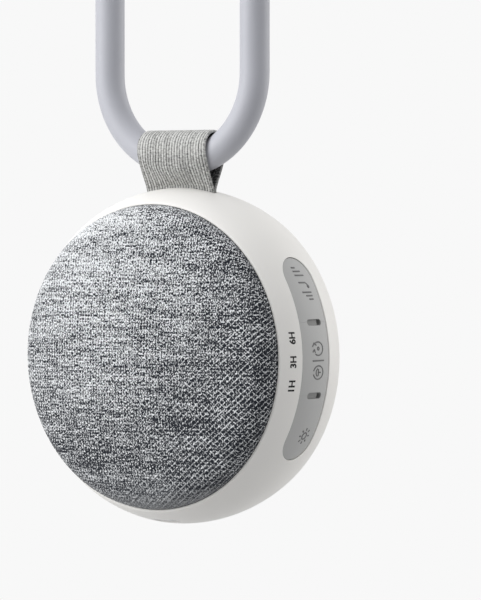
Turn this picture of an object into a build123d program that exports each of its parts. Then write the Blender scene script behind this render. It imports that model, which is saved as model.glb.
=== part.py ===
"""Round portable sound machine hanging from an oblong snap ring.

The front, with its cloth-covered speaker, faces -Y, and the night light faces +Y.  +Z is up.
Every piece is modelled about the centre of the housing's widest circle and then lowered, so that
the origin of the finished part is the crown of the ring's inside, where it rests on a rail.
Radii and Y places of turned pieces are drawn as (radius, y) and turned about the Y axis.
"""

import os
from math import acos, asin, cos, pi, radians, sin, sqrt, tan

from build123d import *

# ---------------------------------------------------------------- housing
body_radius = 50.0            # widest circle of the housing, at y = 0
front_depth = 14.9            # widest circle to the front lip
front_drop = 4.3              # how much smaller the front lip's outer radius is
rear_depth = 13.2             # widest circle to the rear edge
rear_drop = 2.3               # how much smaller the rear edge's outer radius is
wall = 2.2
lip_width = 0.7               # bright lip round the cloth
lip_rounding = 0.3
ledge_thickness = 1.2
front_ledge_depth = 1.5       # lip edge to the ledge the grille sits on
front_ledge_width = 2.2
rear_edge_width = 0.55
rear_ledge_depth = 2.6        # rear edge to the ledge the light sits on
rear_ledge_width = 3.2
fit_gap = 0.05                # between fixed pieces that sit in each other
cut_margin = 1.0              # how far a hole or slot is cut past the piece's face

# ---------------------------------------------------------------- chassis bosses
boss_inset = 10.0             # widest circle of the housing to the circle of bosses
boss_count = 4
boss_radius = 3.2
boss_front_setback = 3.8      # front ledge to the front of the bosses
boss_rear_setback = 4.6       # rear ledge to the rear of the bosses
boss_web = 2.0
screw_radius = 1.25
screw_head_radius = 2.3
screw_head_height = 1.4
screw_bite = 6.5              # length of thread inside a boss
screw_gap = 0.02

# ---------------------------------------------------------------- grille and cloth
dome_gap = 0.1                # cloth edge to lip
dome_roll = 6.2               # radius of the dome's rolled edge
dome_slope = 11.0             # slope in degrees where the roll meets the shallow cap
cloth_thickness = 0.6
grille_wall = 1.5
hole_rings = 4
hole_margin = 10.5            # dome's edge to the outermost ring of holes
holes_per_ring = 6            # times the ring's number
grille_hole_radius = 2.1

# ---------------------------------------------------------------- speaker
baffle_thickness = 2.0
baffle_gap = 0.2              # baffle edge to the front ledge it passes through
speaker_height = 12.0         # speaker axis above the housing's centre
speaker_radius = 20.0
speaker_flange = 1.3
basket_mouth_radius = 16.0
basket_wall = 0.8
basket_depth = 8.4            # behind the flange
basket_back_radius = 9.0
basket_window_radius = 2.2
basket_window_count = 6
magnet_radius = 11.0
magnet_depth = 6.0
magnet_plate = 1.2            # steel plate at each end of the magnet
magnet_groove = 0.6
cone_radius = 12.2
cone_throat_radius = 4.0
cone_depth = 5.6
cone_wall = 0.5
dust_cap_shoulder = 1.6       # cone's throat to the cap at half the throat's radius
dust_cap_rise = 2.08
surround_roll = 1.3
surround_wall = 0.4
gasket_thickness = 0.6
gasket_width = 2.6
speaker_screw_count = 4
speaker_screw_radius = 0.9
speaker_screw_head_radius = 1.6
speaker_screw_head_height = 0.8
speaker_screw_length = 2.6

# ---------------------------------------------------------------- battery and boards
battery_height = 20.0
battery_thickness = 9.0
battery_centre_z = -24.0
tray_wall = 1.0
tray_depth = 5.0
tray_boss_gap = 0.9
battery_gap = 0.2
battery_rounding = 2.0
board_thickness = 1.2
main_board_inset = 7.0        # widest circle of the housing to the board's edge
chip_size = 8.0
chip_height = 1.0
chip_places = ((-25.0, 8.0), (25.0, 4.0), (0.0, 32.0))

# ---------------------------------------------------------------- charging inlet
port_y = -7.6
port_width = 9.0
port_thickness = 3.2
port_length = 7.35
port_recess = 0.5
port_shell = 0.35
port_gap = 0.15
port_tongue_thickness = 0.7
port_tongue_width = 6.7
port_tongue_recess = 1.0
charge_board_width = 16.8
charge_board_height = 9.5
charge_board_thickness = 1.0
charge_board_rise = 2.2       # mouth of the inlet to the board's edge
charge_rib = 2.0

# ---------------------------------------------------------------- key strips
strip_width = 12.7            # along Y
strip_length = 59.2           # along Z, end to end
strip_centre_y = -1.55
strip_gap = 0.12              # key to pocket wall
key_recess = 0.25             # key face below the housing's surface
key_split = 0.12              # between neighbouring keys
key_flange = 1.0              # flange beyond the pocket, behind the wall
key_flange_thickness = 0.8
upper_split_z = 10.9
lower_split_z = -10.4
slot_mark_length = 5.6
slot_mark_width = 2.0
slot_mark_depth = 0.5
slot_mark_y = -1.3
key_travel = 0.5
plunger_radius = 1.5
plunger_root = 0.6            # length inside the key
switch_places = (19.0, -1.0, -20.0)
switch_size = 5.2
switch_height = 2.0
stem_radius = 1.2
stem_height = 0.6
key_board_inset = 15.4        # widest circle of the housing to the board's inner face
key_board_thickness = 1.0
key_board_end_gap = 1.8       # end of the board to the bosses' axes, along Z
key_board_width = 10.0
clip_thickness = 2.0
clip_width = 6.0
clip_lip = 0.4

# ---------------------------------------------------------------- night light
light_tray_thickness = 1.2
light_tray_edge = 0.3
light_post_radius = 3.0
led_board_margin = 7.95       # rear ledge to the lamp board's edge
led_size = 2.8
led_height = 0.9
led_window_gap = 0.2
led_ring_radii = (14.0, 29.0)
led_ring_counts = (6, 12)
bezel_outer_gap = 0.1
bezel_width = 1.15
bezel_rise = 1.6              # slanted face from the rear edge out to the light
bezel_lip_thickness = 1.2
diffuser_flange = 0.5
diffuser_gap = 0.05
diffuser_wall = 1.6
diffuser_rise = 3.4
diffuser_rounding = 0.8

# ---------------------------------------------------------------- strap
strap_width = 24.8
strap_thickness = 0.9
strap_slot_gap = 0.25
strap_bar_radius = 1.25
strap_bar_drop = 6.8          # housing top to the bar's axis
strap_bar_overhang = 3.9      # beyond each edge of the strap
ear_thickness = 2.0
ear_gap = 1.6
loop_neck = 1.3               # housing top to where the two layers part
loop_gap = 0.3                # ring tube to the inside of the loop
loop_waist = 0.05             # half of the space between the layers where they part

# ---------------------------------------------------------------- hanging ring
ring_tube_radius = 4.4
ring_half_width = 26.5        # centre line
ring_straight = 50.0
ring_above_housing = 7.6      # housing top to the tube's centre at the bottom of the ring
gate_pin_height = 26.9        # pin above the start of the ring's straight legs
gate_length = 20.0            # pin to gate tip, on the centre line
gate_tip_slope = 30.0
gate_gap = 0.3
tongue_thickness = 3.0
tongue_gap = 0.1
gate_pin_radius = 1.0
gate_pin_gap = 0.03
gate_pin_inset = 0.4
spring_wire = 0.2
spring_radius = 1.6
spring_turns = 2
spring_turn_gap = 0.05
spring_pocket_gap = 0.25
spring_pocket_spare = 0.3     # depth of the pocket beyond the spring

# ---------------------------------------------------------------- worked-out places
front_arc = (front_depth**2 + front_drop**2) / (2 * front_drop)
rear_arc = (rear_depth**2 + rear_drop**2) / (2 * rear_drop)


def side_radius(y, inset=0.0):
    """Radius of the housing's side at y, or of a surface that lies inset below it."""
    arc = front_arc if y < 0 else rear_arc
    return body_radius - arc + sqrt((arc - inset) ** 2 - y**2)


lip_outer_radius = side_radius(-front_depth)
lip_inner_radius = lip_outer_radius - lip_width
front_ledge_y = -front_depth + front_ledge_depth
front_ledge_radius = lip_inner_radius - front_ledge_width
rear_opening_radius = side_radius(rear_depth) - rear_edge_width
rear_ledge_y = rear_depth - rear_ledge_depth
rear_ledge_radius = rear_opening_radius - rear_ledge_width
dome_radius = lip_inner_radius - dome_gap
hole_ring_pitch = (dome_radius - hole_margin) / hole_rings
boss_circle = body_radius - boss_inset
boss_front = front_ledge_y + boss_front_setback
boss_rear = rear_ledge_y - boss_rear_setback
baffle_front = boss_front - baffle_thickness
main_board_radius = body_radius - main_board_inset
housing_top = body_radius
strap_bar_z = housing_top - strap_bar_drop
ring_low_z = housing_top + ring_above_housing
lower_bend_z = ring_low_z + ring_half_width
upper_bend_z = lower_bend_z + ring_straight
ring_crown_z = upper_bend_z + ring_half_width - ring_tube_radius
gate_pin_z = lower_bend_z + gate_pin_height
tray_y = rear_ledge_y
led_board_y = tray_y - board_thickness
led_board_radius = rear_ledge_radius - led_board_margin
tray_top_y = tray_y + light_tray_thickness
diffuser_radius = rear_opening_radius - bezel_outer_gap - bezel_width
boss_angles = [360 / boss_count * (k + 0.5) for k in range(boss_count)]
boss_x = boss_circle * cos(radians(boss_angles[0]))
boss_z = boss_circle * sin(radians(boss_angles[0]))
battery_width = 2 * (boss_x - boss_radius - tray_boss_gap - tray_wall - battery_gap)
key_board_length = 2 * (boss_z - key_board_end_gap)
key_board_x = body_radius - key_board_inset
key_depth = wall + fit_gap + key_flange_thickness
port_bottom = -side_radius(port_y) + port_recess
charge_board_back = port_y + port_thickness / 2 + charge_board_thickness
charge_board_low = port_bottom + charge_board_rise


# ---------------------------------------------------------------- helpers
def turned(*edges):
    """Solid turned about the Y axis from edges drawn as (radius, y)."""
    return revolve(make_face(Wire(list(edges))), axis=Axis.Y)


def turned_polygon(*points):
    """Solid turned about the Y axis from a closed polygon of (radius, y) points."""
    return revolve(make_face(Polyline(*points, close=True)), axis=Axis.Y)


def tube_y(outer, inner, low, high):
    """Ring or, with no inner radius, disc about the Y axis from low to high."""
    return turned_polygon((inner, low), (outer, low), (outer, high), (inner, high))


def rod(radius, x, z, low, high):
    """Round rod along Y at (x, z)."""
    return Pos(x, (low + high) / 2, z) * Rot(90, 0, 0) * Cylinder(radius, high - low)


def block(x, y, z):
    """Box from three (low, high) pairs."""
    size = [high - low for low, high in (x, y, z)]
    middle = [(low + high) / 2 for low, high in (x, y, z)]
    return Pos(*middle) * Box(*size)


def side_arc(inset, start, end):
    """Arc of the surface inset below the housing's side, between two y on one side of y = 0."""
    middle = (start + end) / 2
    sign = -1 if middle < 0 else 1
    points = [(side_radius(sign * abs(y), inset), y) for y in (start, middle, end)]
    return ThreePointArc(*points)


def side_layer(outer_inset, inner_inset, front, rear):
    """Turned layer between two surfaces parallel to the housing's side."""
    outer = [side_arc(outer_inset, front, 0), side_arc(outer_inset, 0, rear)]
    inner = [side_arc(inner_inset, rear, 0), side_arc(inner_inset, 0, front)]
    across = Line(outer[1] @ 1, inner[0] @ 0)
    back = Line(inner[1] @ 1, outer[0] @ 0)
    return turned(*outer, across, *inner, back)


def crown_arc(radius, edge_y, crown_y):
    """Arc from (radius, edge_y) to the crown of a shallow cap, centred on the Y axis."""
    rise = crown_y - edge_y
    arc = (radius**2 + rise**2) / (2 * rise)
    half = asin(radius / arc) / 2
    middle = (arc * sin(half), crown_y - arc + arc * cos(half))
    return ThreePointArc((radius, edge_y), middle, (0, crown_y))


def polar_points(radius, count, start=0.0):
    """(x, z) points on a circle about the Y axis."""
    turns = [radians(start) + 2 * pi * k / count for k in range(count)]
    return [(radius * cos(turn), radius * sin(turn)) for turn in turns]


boss_points = [(boss_circle * cos(radians(a)), boss_circle * sin(radians(a))) for a in boss_angles]


# ---------------------------------------------------------------- housing
def strip_prism(growth, side):
    """Pill-shaped prism along X through one key pocket, larger than the pocket by growth."""
    pill = SlotOverall(strip_length + 2 * growth, strip_width + 2 * growth, rotation=90)
    prism = Pos(0, strip_centre_y, 0) * extrude(Plane.YZ * pill, body_radius + cut_margin)
    return prism if side > 0 else mirror(prism, Plane.YZ)


def key_room(side):
    """Space inside the wall that the keys' flanges move in."""
    front, rear = strip_centre_y - strip_width, strip_centre_y + strip_width
    layer = side_layer(wall / 2, key_depth + key_travel + fit_gap, front, rear)
    return strip_prism(key_flange + strip_gap, side) & layer


def boss_with_web(x, z, angle):
    """Screw boss and the web that joins it to the housing's wall."""
    web = block((boss_circle, body_radius), (boss_front, boss_rear), (-boss_web / 2, boss_web / 2))
    web = web & side_layer(wall / 2, boss_inset, boss_front, boss_rear)
    return Rot(0, -angle, 0) * web + rod(boss_radius, x, z, boss_front, boss_rear)


def strap_ear():
    """Ear on the +X side that holds one end of the strap's bar."""
    near = strap_width / 2 + ear_gap
    far = near + ear_thickness
    top = sqrt((body_radius - wall / 2) ** 2 - far**2)
    half = 2 * strap_bar_radius
    return block((near, far), (-half, half), (strap_bar_z - half, top))


def charge_board_rib():
    """Rib on the +X side that one edge of the charging board slides into."""
    near = (charge_board_width - charge_rib) / 2
    far = near + charge_rib
    front = charge_board_back - 2 * charge_rib
    bottom = -sqrt((side_radius(front) - wall / 4) ** 2 - far**2)
    return block((near, far), (front, charge_board_back + charge_rib),
                 (bottom, charge_board_low + charge_board_height / 2))


def port_prism(growth, low, high):
    """Rounded prism along Z at the charging inlet."""
    pill = SlotOverall(port_width + 2 * growth, port_thickness + 2 * growth)
    return extrude(Pos(0, port_y, low) * pill, high - low)


def key_board_clip(side, end):
    """Rib that holds one end of a key board, standing on the nearest boss."""
    board_end = key_board_length / 2
    outer_x = key_board_x + key_board_thickness + clip_lip
    y = (strip_centre_y - clip_width / 2, strip_centre_y + clip_width / 2)
    z = (board_end - clip_thickness / 2, board_end + clip_thickness)
    rib = block((boss_x, outer_x), y, z)
    slot_x = (key_board_x - fit_gap, key_board_x + key_board_thickness + fit_gap)
    rib -= block(slot_x, y, (0, board_end + fit_gap))
    if end < 0:
        rib = mirror(rib, Plane.XY)
    return rib if side > 0 else mirror(rib, Plane.YZ)


def make_housing():
    """White side band with its ledges, bosses, strap ears, key pockets and openings."""
    ledge_back = front_ledge_y + ledge_thickness
    rear_ledge_front = rear_ledge_y - ledge_thickness
    outline = [
        side_arc(0, -front_depth, 0),
        side_arc(0, 0, rear_depth),
        Polyline(
            (side_radius(rear_depth), rear_depth),
            (rear_opening_radius, rear_depth),
            (rear_opening_radius, rear_ledge_y),
            (rear_ledge_radius, rear_ledge_y),
            (rear_ledge_radius, rear_ledge_front),
            (side_radius(rear_ledge_front, wall), rear_ledge_front),
        ),
        side_arc(wall, rear_ledge_front, 0),
        side_arc(wall, 0, ledge_back),
        Polyline(
            (side_radius(ledge_back, wall), ledge_back),
            (front_ledge_radius, ledge_back),
            (front_ledge_radius, front_ledge_y),
            (lip_inner_radius, front_ledge_y),
            (lip_inner_radius, -front_depth),
            (lip_outer_radius, -front_depth),
        ),
    ]
    housing = revolve(make_face(outline), axis=Axis.Y)
    lip_edges = [e for e in housing.edges() if abs(e.center().Y + front_depth) < 1e-6
                 and abs(e.bounding_box().size.Y) < 1e-6]
    housing = fillet(lip_edges, lip_rounding)
    rooms = [key_room(side) for side in (1, -1)]
    fittings = [boss_with_web(x, z, angle) for (x, z), angle in zip(boss_points, boss_angles)]
    for side in (1, -1):
        housing -= strip_prism(0, side)
        fittings += [key_board_clip(side, end) for end in (1, -1)]
    for fitting in fittings:
        housing += fitting - rooms
    for piece in (strap_ear(), charge_board_rib()):
        housing = housing + piece + mirror(piece, Plane.YZ)
    for x, z in boss_points:
        housing -= rod(screw_radius + screw_gap, x, z, boss_front - cut_margin, boss_rear + cut_margin)
    slot_half = strap_thickness + loop_waist + strap_slot_gap
    housing -= block((-strap_width / 2 - strap_slot_gap, strap_width / 2 + strap_slot_gap),
                     (-slot_half, slot_half),
                     (strap_bar_z + 2 * strap_thickness, housing_top + cut_margin))
    bar_length = strap_width + 2 * strap_bar_overhang + cut_margin
    housing -= Pos(0, 0, strap_bar_z) * Rot(0, 90, 0) * Cylinder(strap_bar_radius + screw_gap,
                                                                 bar_length)
    housing -= port_prism(port_gap, -body_radius - cut_margin, -body_radius + 2 * wall)
    board_slot = block((-charge_board_width / 2 - fit_gap, charge_board_width / 2 + fit_gap),
                       (charge_board_back - charge_board_thickness - fit_gap,
                        charge_board_back + fit_gap),
                       (charge_board_low - fit_gap, charge_board_low + charge_board_height))
    return housing - board_slot


# ---------------------------------------------------------------- grille and cloth
def dome_shell(offset, thickness, skirt_end):
    """Shell parallel to the front dome: a shallow cap, a rolled edge and a straight skirt."""
    roll_centre = dome_radius - dome_roll
    slope = radians(dome_slope)
    cap_centre_y = -front_depth + roll_centre / tan(slope)
    cap_radius = roll_centre / sin(slope) + dome_roll

    def side(inset):
        roll, cap = dome_roll - inset, cap_radius - inset
        half = (slope + pi / 2) / 2
        crown = (0, cap_centre_y - cap)
        cap_middle = (cap * sin(slope / 2), cap_centre_y - cap * cos(slope / 2))
        join = (roll_centre + roll * sin(slope), -front_depth - roll * cos(slope))
        roll_middle = (roll_centre + roll * sin(half), -front_depth - roll * cos(half))
        edge = (roll_centre + roll, -front_depth)
        return crown, cap_middle, join, roll_middle, edge

    outer, inner = side(offset), side(offset + thickness)
    outline = [
        ThreePointArc(outer[0], outer[1], outer[2]),
        ThreePointArc(outer[2], outer[3], outer[4]),
        Polyline(outer[4], (outer[4][0], skirt_end), (inner[4][0], skirt_end), inner[4]),
        ThreePointArc(inner[4], inner[3], inner[2]),
        ThreePointArc(inner[2], inner[1], inner[0]),
        Line(inner[0], outer[0]),
    ]
    return revolve(make_face(outline), axis=Axis.Y)


def make_grille_frame():
    """Domed plate under the cloth, pierced by rings of round holes."""
    frame = dome_shell(cloth_thickness + fit_gap, grille_wall, front_ledge_y)
    holes = [(0.0, 0.0)]
    for ring in range(1, hole_rings + 1):
        holes += polar_points(ring * hole_ring_pitch, ring * holes_per_ring)
    tools = [rod(grille_hole_radius, x, z, -dome_radius, front_ledge_y) for x, z in holes]
    return frame - tools


# ---------------------------------------------------------------- speaker
def make_baffle():
    """Round plate on the bosses, with the speaker's opening."""
    through = (baffle_front - cut_margin, boss_front + cut_margin)
    baffle = tube_y(front_ledge_radius - baffle_gap, 0, baffle_front, boss_front)
    baffle -= rod(basket_mouth_radius + fit_gap, 0, speaker_height, *through)
    baffle -= [rod(screw_radius + screw_gap, x, z, *through) for x, z in boss_points]
    return baffle - [rod(speaker_screw_radius + screw_gap, x, z, *through)
                     for x, z in speaker_screw_points()]


def speaker_screw_points():
    """(x, z) of the screws through the speaker's flange."""
    circle = (speaker_radius + basket_mouth_radius) / 2
    points = polar_points(circle, speaker_screw_count, 45)
    return [(x, z + speaker_height) for x, z in points]


def make_speaker():
    """Basket, magnet, cone, surround, gasket and screws of the speaker, by node name."""
    flange_front = baffle_front - speaker_flange
    back = baffle_front + basket_depth
    basket = turned_polygon(
        (speaker_radius, flange_front),
        (speaker_radius, baffle_front),
        (basket_mouth_radius, baffle_front),
        (basket_mouth_radius - basket_wall, baffle_front + 2 * basket_wall),
        (basket_back_radius + basket_wall, back),
        (0, back),
        (0, back - basket_wall),
        (basket_back_radius, back - basket_wall),
        (basket_mouth_radius - 2 * basket_wall, baffle_front + basket_wall),
        (basket_mouth_radius - 2 * basket_wall, flange_front),
    )
    window_circle = (basket_mouth_radius + basket_back_radius) / 2
    for x, z in polar_points(window_circle, basket_window_count):
        basket -= rod(basket_window_radius, x, z, baffle_front + 2 * basket_wall, back - basket_wall)
    magnet = tube_y(magnet_radius, 0, back, back + magnet_depth)
    magnet -= tube_y(magnet_radius + cut_margin, magnet_radius - magnet_groove,
                     back + magnet_plate, back + magnet_depth - magnet_plate)
    cone_front = flange_front
    cone = turned_polygon(
        (cone_radius, cone_front),
        (cone_throat_radius, cone_front + cone_depth),
        (cone_throat_radius / 2, cone_front + cone_depth - dust_cap_shoulder),
        (0, cone_front + cone_depth - dust_cap_rise),
        (0, cone_front + cone_depth - dust_cap_rise + cone_wall),
        (cone_throat_radius / 2, cone_front + cone_depth - dust_cap_shoulder + cone_wall),
        (cone_throat_radius - cone_wall, cone_front + cone_depth + cone_wall),
        (cone_throat_radius + cone_wall, cone_front + cone_depth + cone_wall),
        (cone_radius, cone_front + 1.5 * cone_wall),
    )
    roll_centre = cone_radius + fit_gap + surround_roll
    outer_edge = roll_centre + surround_roll
    inner_roll = surround_roll - surround_wall
    half_roll = [
        ThreePointArc((cone_radius + fit_gap, cone_front), (roll_centre, cone_front - surround_roll),
                      (outer_edge, cone_front)),
        Line((outer_edge, cone_front), (outer_edge - surround_wall, cone_front)),
        ThreePointArc((outer_edge - surround_wall, cone_front),
                      (roll_centre, cone_front - inner_roll),
                      (cone_radius + fit_gap + surround_wall, cone_front)),
        Line((cone_radius + fit_gap + surround_wall, cone_front), (cone_radius + fit_gap, cone_front)),
    ]
    surround = revolve(make_face(half_roll), axis=Axis.Y)
    gasket = tube_y(speaker_radius, speaker_radius - gasket_width,
                    flange_front - gasket_thickness, flange_front)
    heads_front = flange_front - gasket_thickness - speaker_screw_head_height
    screws, holes = [], []
    for x, z in speaker_screw_points():
        screws.append(
            rod(speaker_screw_head_radius, x, z, heads_front, heads_front + speaker_screw_head_height)
            + rod(speaker_screw_radius, x, z, heads_front + speaker_screw_head_height / 2,
                  heads_front + speaker_screw_head_height + speaker_screw_length))
        holes.append(rod(speaker_screw_radius + screw_gap, x, z - speaker_height,
                         heads_front, baffle_front + cut_margin))
    place = Pos(0, 0, speaker_height)
    return {
        "speaker_basket": place * (basket - holes),
        "speaker_magnet": place * magnet,
        "speaker_cone": place * cone,
        "speaker_surround": place * surround,
        "speaker_gasket": place * (gasket - holes),
        "speaker_screws": Compound(children=screws),
    }


# ---------------------------------------------------------------- battery and boards
def make_battery():
    """Pouch battery and its shallow tray on the front of the main board, by node name."""
    low = battery_centre_z - battery_height / 2
    high = battery_centre_z + battery_height / 2
    half = battery_width / 2
    rear = boss_rear - tray_wall
    battery = block((-half, half), (rear - battery_thickness, rear), (low, high))
    battery = fillet(battery.edges().filter_by(Axis.X), battery_rounding)
    margin = battery_gap + tray_wall
    tray = block((-half - margin, half + margin), (boss_rear - tray_depth, boss_rear),
                 (low - margin, high + margin))
    tray -= block((-half - battery_gap, half + battery_gap),
                  (boss_rear - tray_depth - cut_margin, rear),
                  (low - battery_gap, high + battery_gap))
    return {"battery": battery, "battery_tray": tray}


def make_main_board():
    """Round board on the rear of the bosses and the chips on its front face, by node name."""
    board = tube_y(main_board_radius, 0, boss_rear, boss_rear + board_thickness)
    for x, z in boss_points:
        board -= rod(screw_radius + screw_gap, x, z, boss_rear - cut_margin,
                     boss_rear + board_thickness + cut_margin)
    half = chip_size / 2
    chips = [block((x - half, x + half), (boss_rear - chip_height, boss_rear), (z - half, z + half))
             for x, z in chip_places]
    return {"main_board": board, "main_board_chips": Compound(children=chips)}


def make_charging_inlet():
    """Charging inlet and the small board that carries it, by node name."""
    top = port_bottom + port_length
    shell = port_prism(0, port_bottom, top)
    shell -= port_prism(-port_shell, port_bottom - cut_margin, top - port_shell)
    shell += block((-port_tongue_width / 2, port_tongue_width / 2),
                   (port_y - port_tongue_thickness / 2, port_y + port_tongue_thickness / 2),
                   (port_bottom + port_tongue_recess, top - port_shell / 2))
    half = charge_board_width / 2
    board = block((-half, half), (charge_board_back - charge_board_thickness, charge_board_back),
                  (charge_board_low, charge_board_low + charge_board_height))
    return {"usb_port": shell, "charge_board": board}


# ---------------------------------------------------------------- key strips
def make_key_strip(side, names):
    """Three keys, their board and its switches on one side, by node name."""
    front, rear = strip_centre_y - strip_width, strip_centre_y + strip_width
    cap = side_layer(key_recess, key_depth, front, rear) & strip_prism(-strip_gap, side)
    flange = side_layer(wall + fit_gap, key_depth, front, rear) & strip_prism(key_flange, side)
    strip = cap + flange
    reach = body_radius + cut_margin
    for split in (upper_split_z, lower_split_z):
        mark = Plane.YZ * Pos(slot_mark_y, split) * SlotOverall(slot_mark_length, slot_mark_width)
        mark = extrude(mark, reach, both=True)
        floor = side_layer(-cut_margin, key_recess + slot_mark_depth, front, rear)
        strip -= mark & floor
    bounds = [strip_length, upper_split_z, lower_split_z, -strip_length]
    face_x = key_board_x + key_board_thickness + switch_height + stem_height
    plunger_end = face_x + key_travel + fit_gap
    parts = {}
    for name, high, low, place in zip(names, bounds, bounds[1:], switch_places):
        x = (0, reach) if side > 0 else (-reach, 0)
        zone = block(x, (-reach, reach), (low + key_split / 2, high - key_split / 2))
        key = strip & zone
        root_x = sqrt(side_radius(0, key_depth) ** 2 - place**2) + plunger_root
        plunger = Pos(side * (plunger_end + root_x) / 2, strip_centre_y, place) * (
            Rot(0, 90, 0) * Cylinder(plunger_radius, root_x - plunger_end))
        parts[name] = key + plunger
    board_x = sorted((side * key_board_x, side * (key_board_x + key_board_thickness)))
    board_y = (strip_centre_y - key_board_width / 2, strip_centre_y + key_board_width / 2)
    half_length = key_board_length / 2
    board = block(board_x, board_y, (-half_length, half_length))
    switches = []
    for place in switch_places:
        foot = key_board_x + key_board_thickness
        half = switch_size / 2
        body_x = sorted((side * foot, side * (foot + switch_height)))
        body = block(body_x, (strip_centre_y - half, strip_centre_y + half),
                     (place - half, place + half))
        stem = Pos(side * (foot + switch_height + stem_height / 2), strip_centre_y, place) * (
            Rot(0, 90, 0) * Cylinder(stem_radius, stem_height))
        switches.append(body + stem)
    prefix = "right" if side > 0 else "left"
    parts[prefix + "_key_board"] = board
    parts[prefix + "_switches"] = Compound(children=switches)
    return parts


# ---------------------------------------------------------------- night light
def make_light():
    """Tray, lamp board, lamps, bezel and diffuser of the night light, by node name."""
    tray = tube_y(rear_opening_radius - light_tray_edge, 0, tray_y, tray_top_y)
    for x, z in boss_points:
        tray += rod(light_post_radius, x, z, boss_rear + board_thickness, tray_y + fit_gap)
        tray -= rod(screw_radius + screw_gap, x, z, boss_rear, tray_top_y + cut_margin)
    lamps = []
    window = led_size / 2 + led_window_gap
    half = led_size / 2
    for radius, count in zip(led_ring_radii, led_ring_counts):
        for x, z in polar_points(radius, count):
            tray -= block((x - window, x + window), (tray_y - cut_margin, tray_top_y + cut_margin),
                          (z - window, z + window))
            lamps.append(block((x - half, x + half), (tray_y, tray_y + led_height),
                               (z - half, z + half)))
    board = tube_y(led_board_radius, 0, led_board_y, tray_y)
    outer = rear_opening_radius - bezel_outer_gap
    lip_y = tray_top_y + bezel_lip_thickness + diffuser_gap
    flange_radius = diffuser_radius - diffuser_gap + diffuser_flange
    bezel = turned_polygon(
        (outer, tray_top_y),
        (outer, rear_depth),
        (diffuser_radius, rear_depth + bezel_rise),
        (diffuser_radius, lip_y),
        (flange_radius + diffuser_gap, lip_y),
        (flange_radius + diffuser_gap, tray_top_y),
    )
    edge = diffuser_radius - diffuser_gap
    edge_y = rear_depth + bezel_rise - diffuser_rounding / 2
    crown_y = edge_y + diffuser_rise
    shoulder = edge - diffuser_rounding
    shoulder_y = edge_y + diffuser_rounding
    inner_edge = edge - diffuser_wall
    inner_y = shoulder_y - diffuser_wall
    diffuser = revolve(make_face([
        Polyline((inner_edge, inner_y), (inner_edge, tray_top_y), (flange_radius, tray_top_y),
                 (flange_radius, lip_y - diffuser_gap), (edge, lip_y - diffuser_gap), (edge, edge_y)),
        ThreePointArc((edge, edge_y), (shoulder + diffuser_rounding * cos(radians(45)),
                                       edge_y + diffuser_rounding * sin(radians(45))),
                      (shoulder, shoulder_y)),
        crown_arc(shoulder, shoulder_y, crown_y),
        Line((0, crown_y), (0, crown_y - diffuser_wall)),
        crown_arc(inner_edge, inner_y, crown_y - diffuser_wall),
    ]), axis=Axis.Y)
    return {
        "light_tray": tray,
        "led_board": board,
        "led_chips": Compound(children=lamps),
        "diffuser_ring": bezel,
        "light_diffuser": diffuser,
    }


def make_chassis_screws():
    """Screws that hold the baffle from the front and the light tray from the rear."""
    screws = []
    for x, z in boss_points:
        front_head = baffle_front - screw_head_height
        screws.append(rod(screw_head_radius, x, z, front_head, baffle_front)
                      + rod(screw_radius, x, z, front_head, boss_front + screw_bite))
        rear_head = tray_top_y + screw_head_height
        screws.append(rod(screw_head_radius, x, z, tray_top_y, rear_head)
                      + rod(screw_radius, x, z, boss_rear - screw_bite, rear_head))
    return Compound(children=screws)


# ---------------------------------------------------------------- strap
def make_strap():
    """Elastic tape looped round the ring, its foot sewn round the bar in the housing."""
    neck_z = housing_top + loop_neck
    bend_inside = ring_half_width - ring_tube_radius
    tube_top_at_edge = lower_bend_z - sqrt(bend_inside**2 - (strap_width / 2) ** 2)

    def loop(offset):
        """Teardrop round the ring's tube, which is lowest in mid strap and highest at its edges."""
        radius = ring_tube_radius + loop_gap + offset
        upper_z = tube_top_at_edge - ring_tube_radius
        waist = loop_waist + offset
        neck = (waist, neck_z + strap_thickness - offset)
        reach = sqrt(waist**2 + (ring_low_z - neck[1]) ** 2)
        turn = -acos(waist / reach) + acos(radius / reach)
        touch = (radius * cos(turn), ring_low_z + radius * sin(turn))
        middle = (radius * cos(turn / 2), ring_low_z + radius * sin(turn / 2))
        right = [
            Line(neck, touch),
            ThreePointArc(touch, middle, (radius, ring_low_z)),
            Line((radius, ring_low_z), (radius, upper_z)),
        ]
        top = ThreePointArc((radius, upper_z), (0, upper_z + radius), (-radius, upper_z))
        left = [mirror(edge, Plane.YZ) for edge in right]
        return make_face([*right, top, *left, Line(neck, (-neck[0], neck[1]))])

    body = extrude(Plane.YZ * loop(strap_thickness), strap_width / 2, both=True)
    foot_half = strap_thickness + loop_waist
    foot = block((-strap_width / 2, strap_width / 2), (-foot_half, foot_half),
                 (strap_bar_z, neck_z + strap_thickness / 2))
    along_x = Pos(0, 0, strap_bar_z) * Rot(0, 90, 0)
    eye = along_x * Cylinder(strap_bar_radius + strap_thickness, strap_width)
    body = body + foot + eye
    body -= extrude(Plane.YZ * loop(0), strap_width, both=True)
    body -= along_x * Cylinder(strap_bar_radius + screw_gap, 2 * strap_width)
    bar = along_x * Cylinder(strap_bar_radius, strap_width + 2 * strap_bar_overhang)
    return {"strap_loop": body, "strap_bar": bar}


# ---------------------------------------------------------------- hanging ring
def ring_leg(side, low, high):
    """Straight stretch of the ring's tube."""
    return Pos(side * ring_half_width, 0, (low + high) / 2) * Cylinder(ring_tube_radius, high - low)


def ring_bend(upper):
    """Half-round bend of the ring's tube."""
    section = Plane.XY * Pos(ring_half_width, 0) * Circle(ring_tube_radius)
    bend = revolve(section, axis=Axis.Y, revolution_arc=180 if not upper else -180)
    return Pos(0, 0, upper_bend_z if upper else lower_bend_z) * bend


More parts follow.
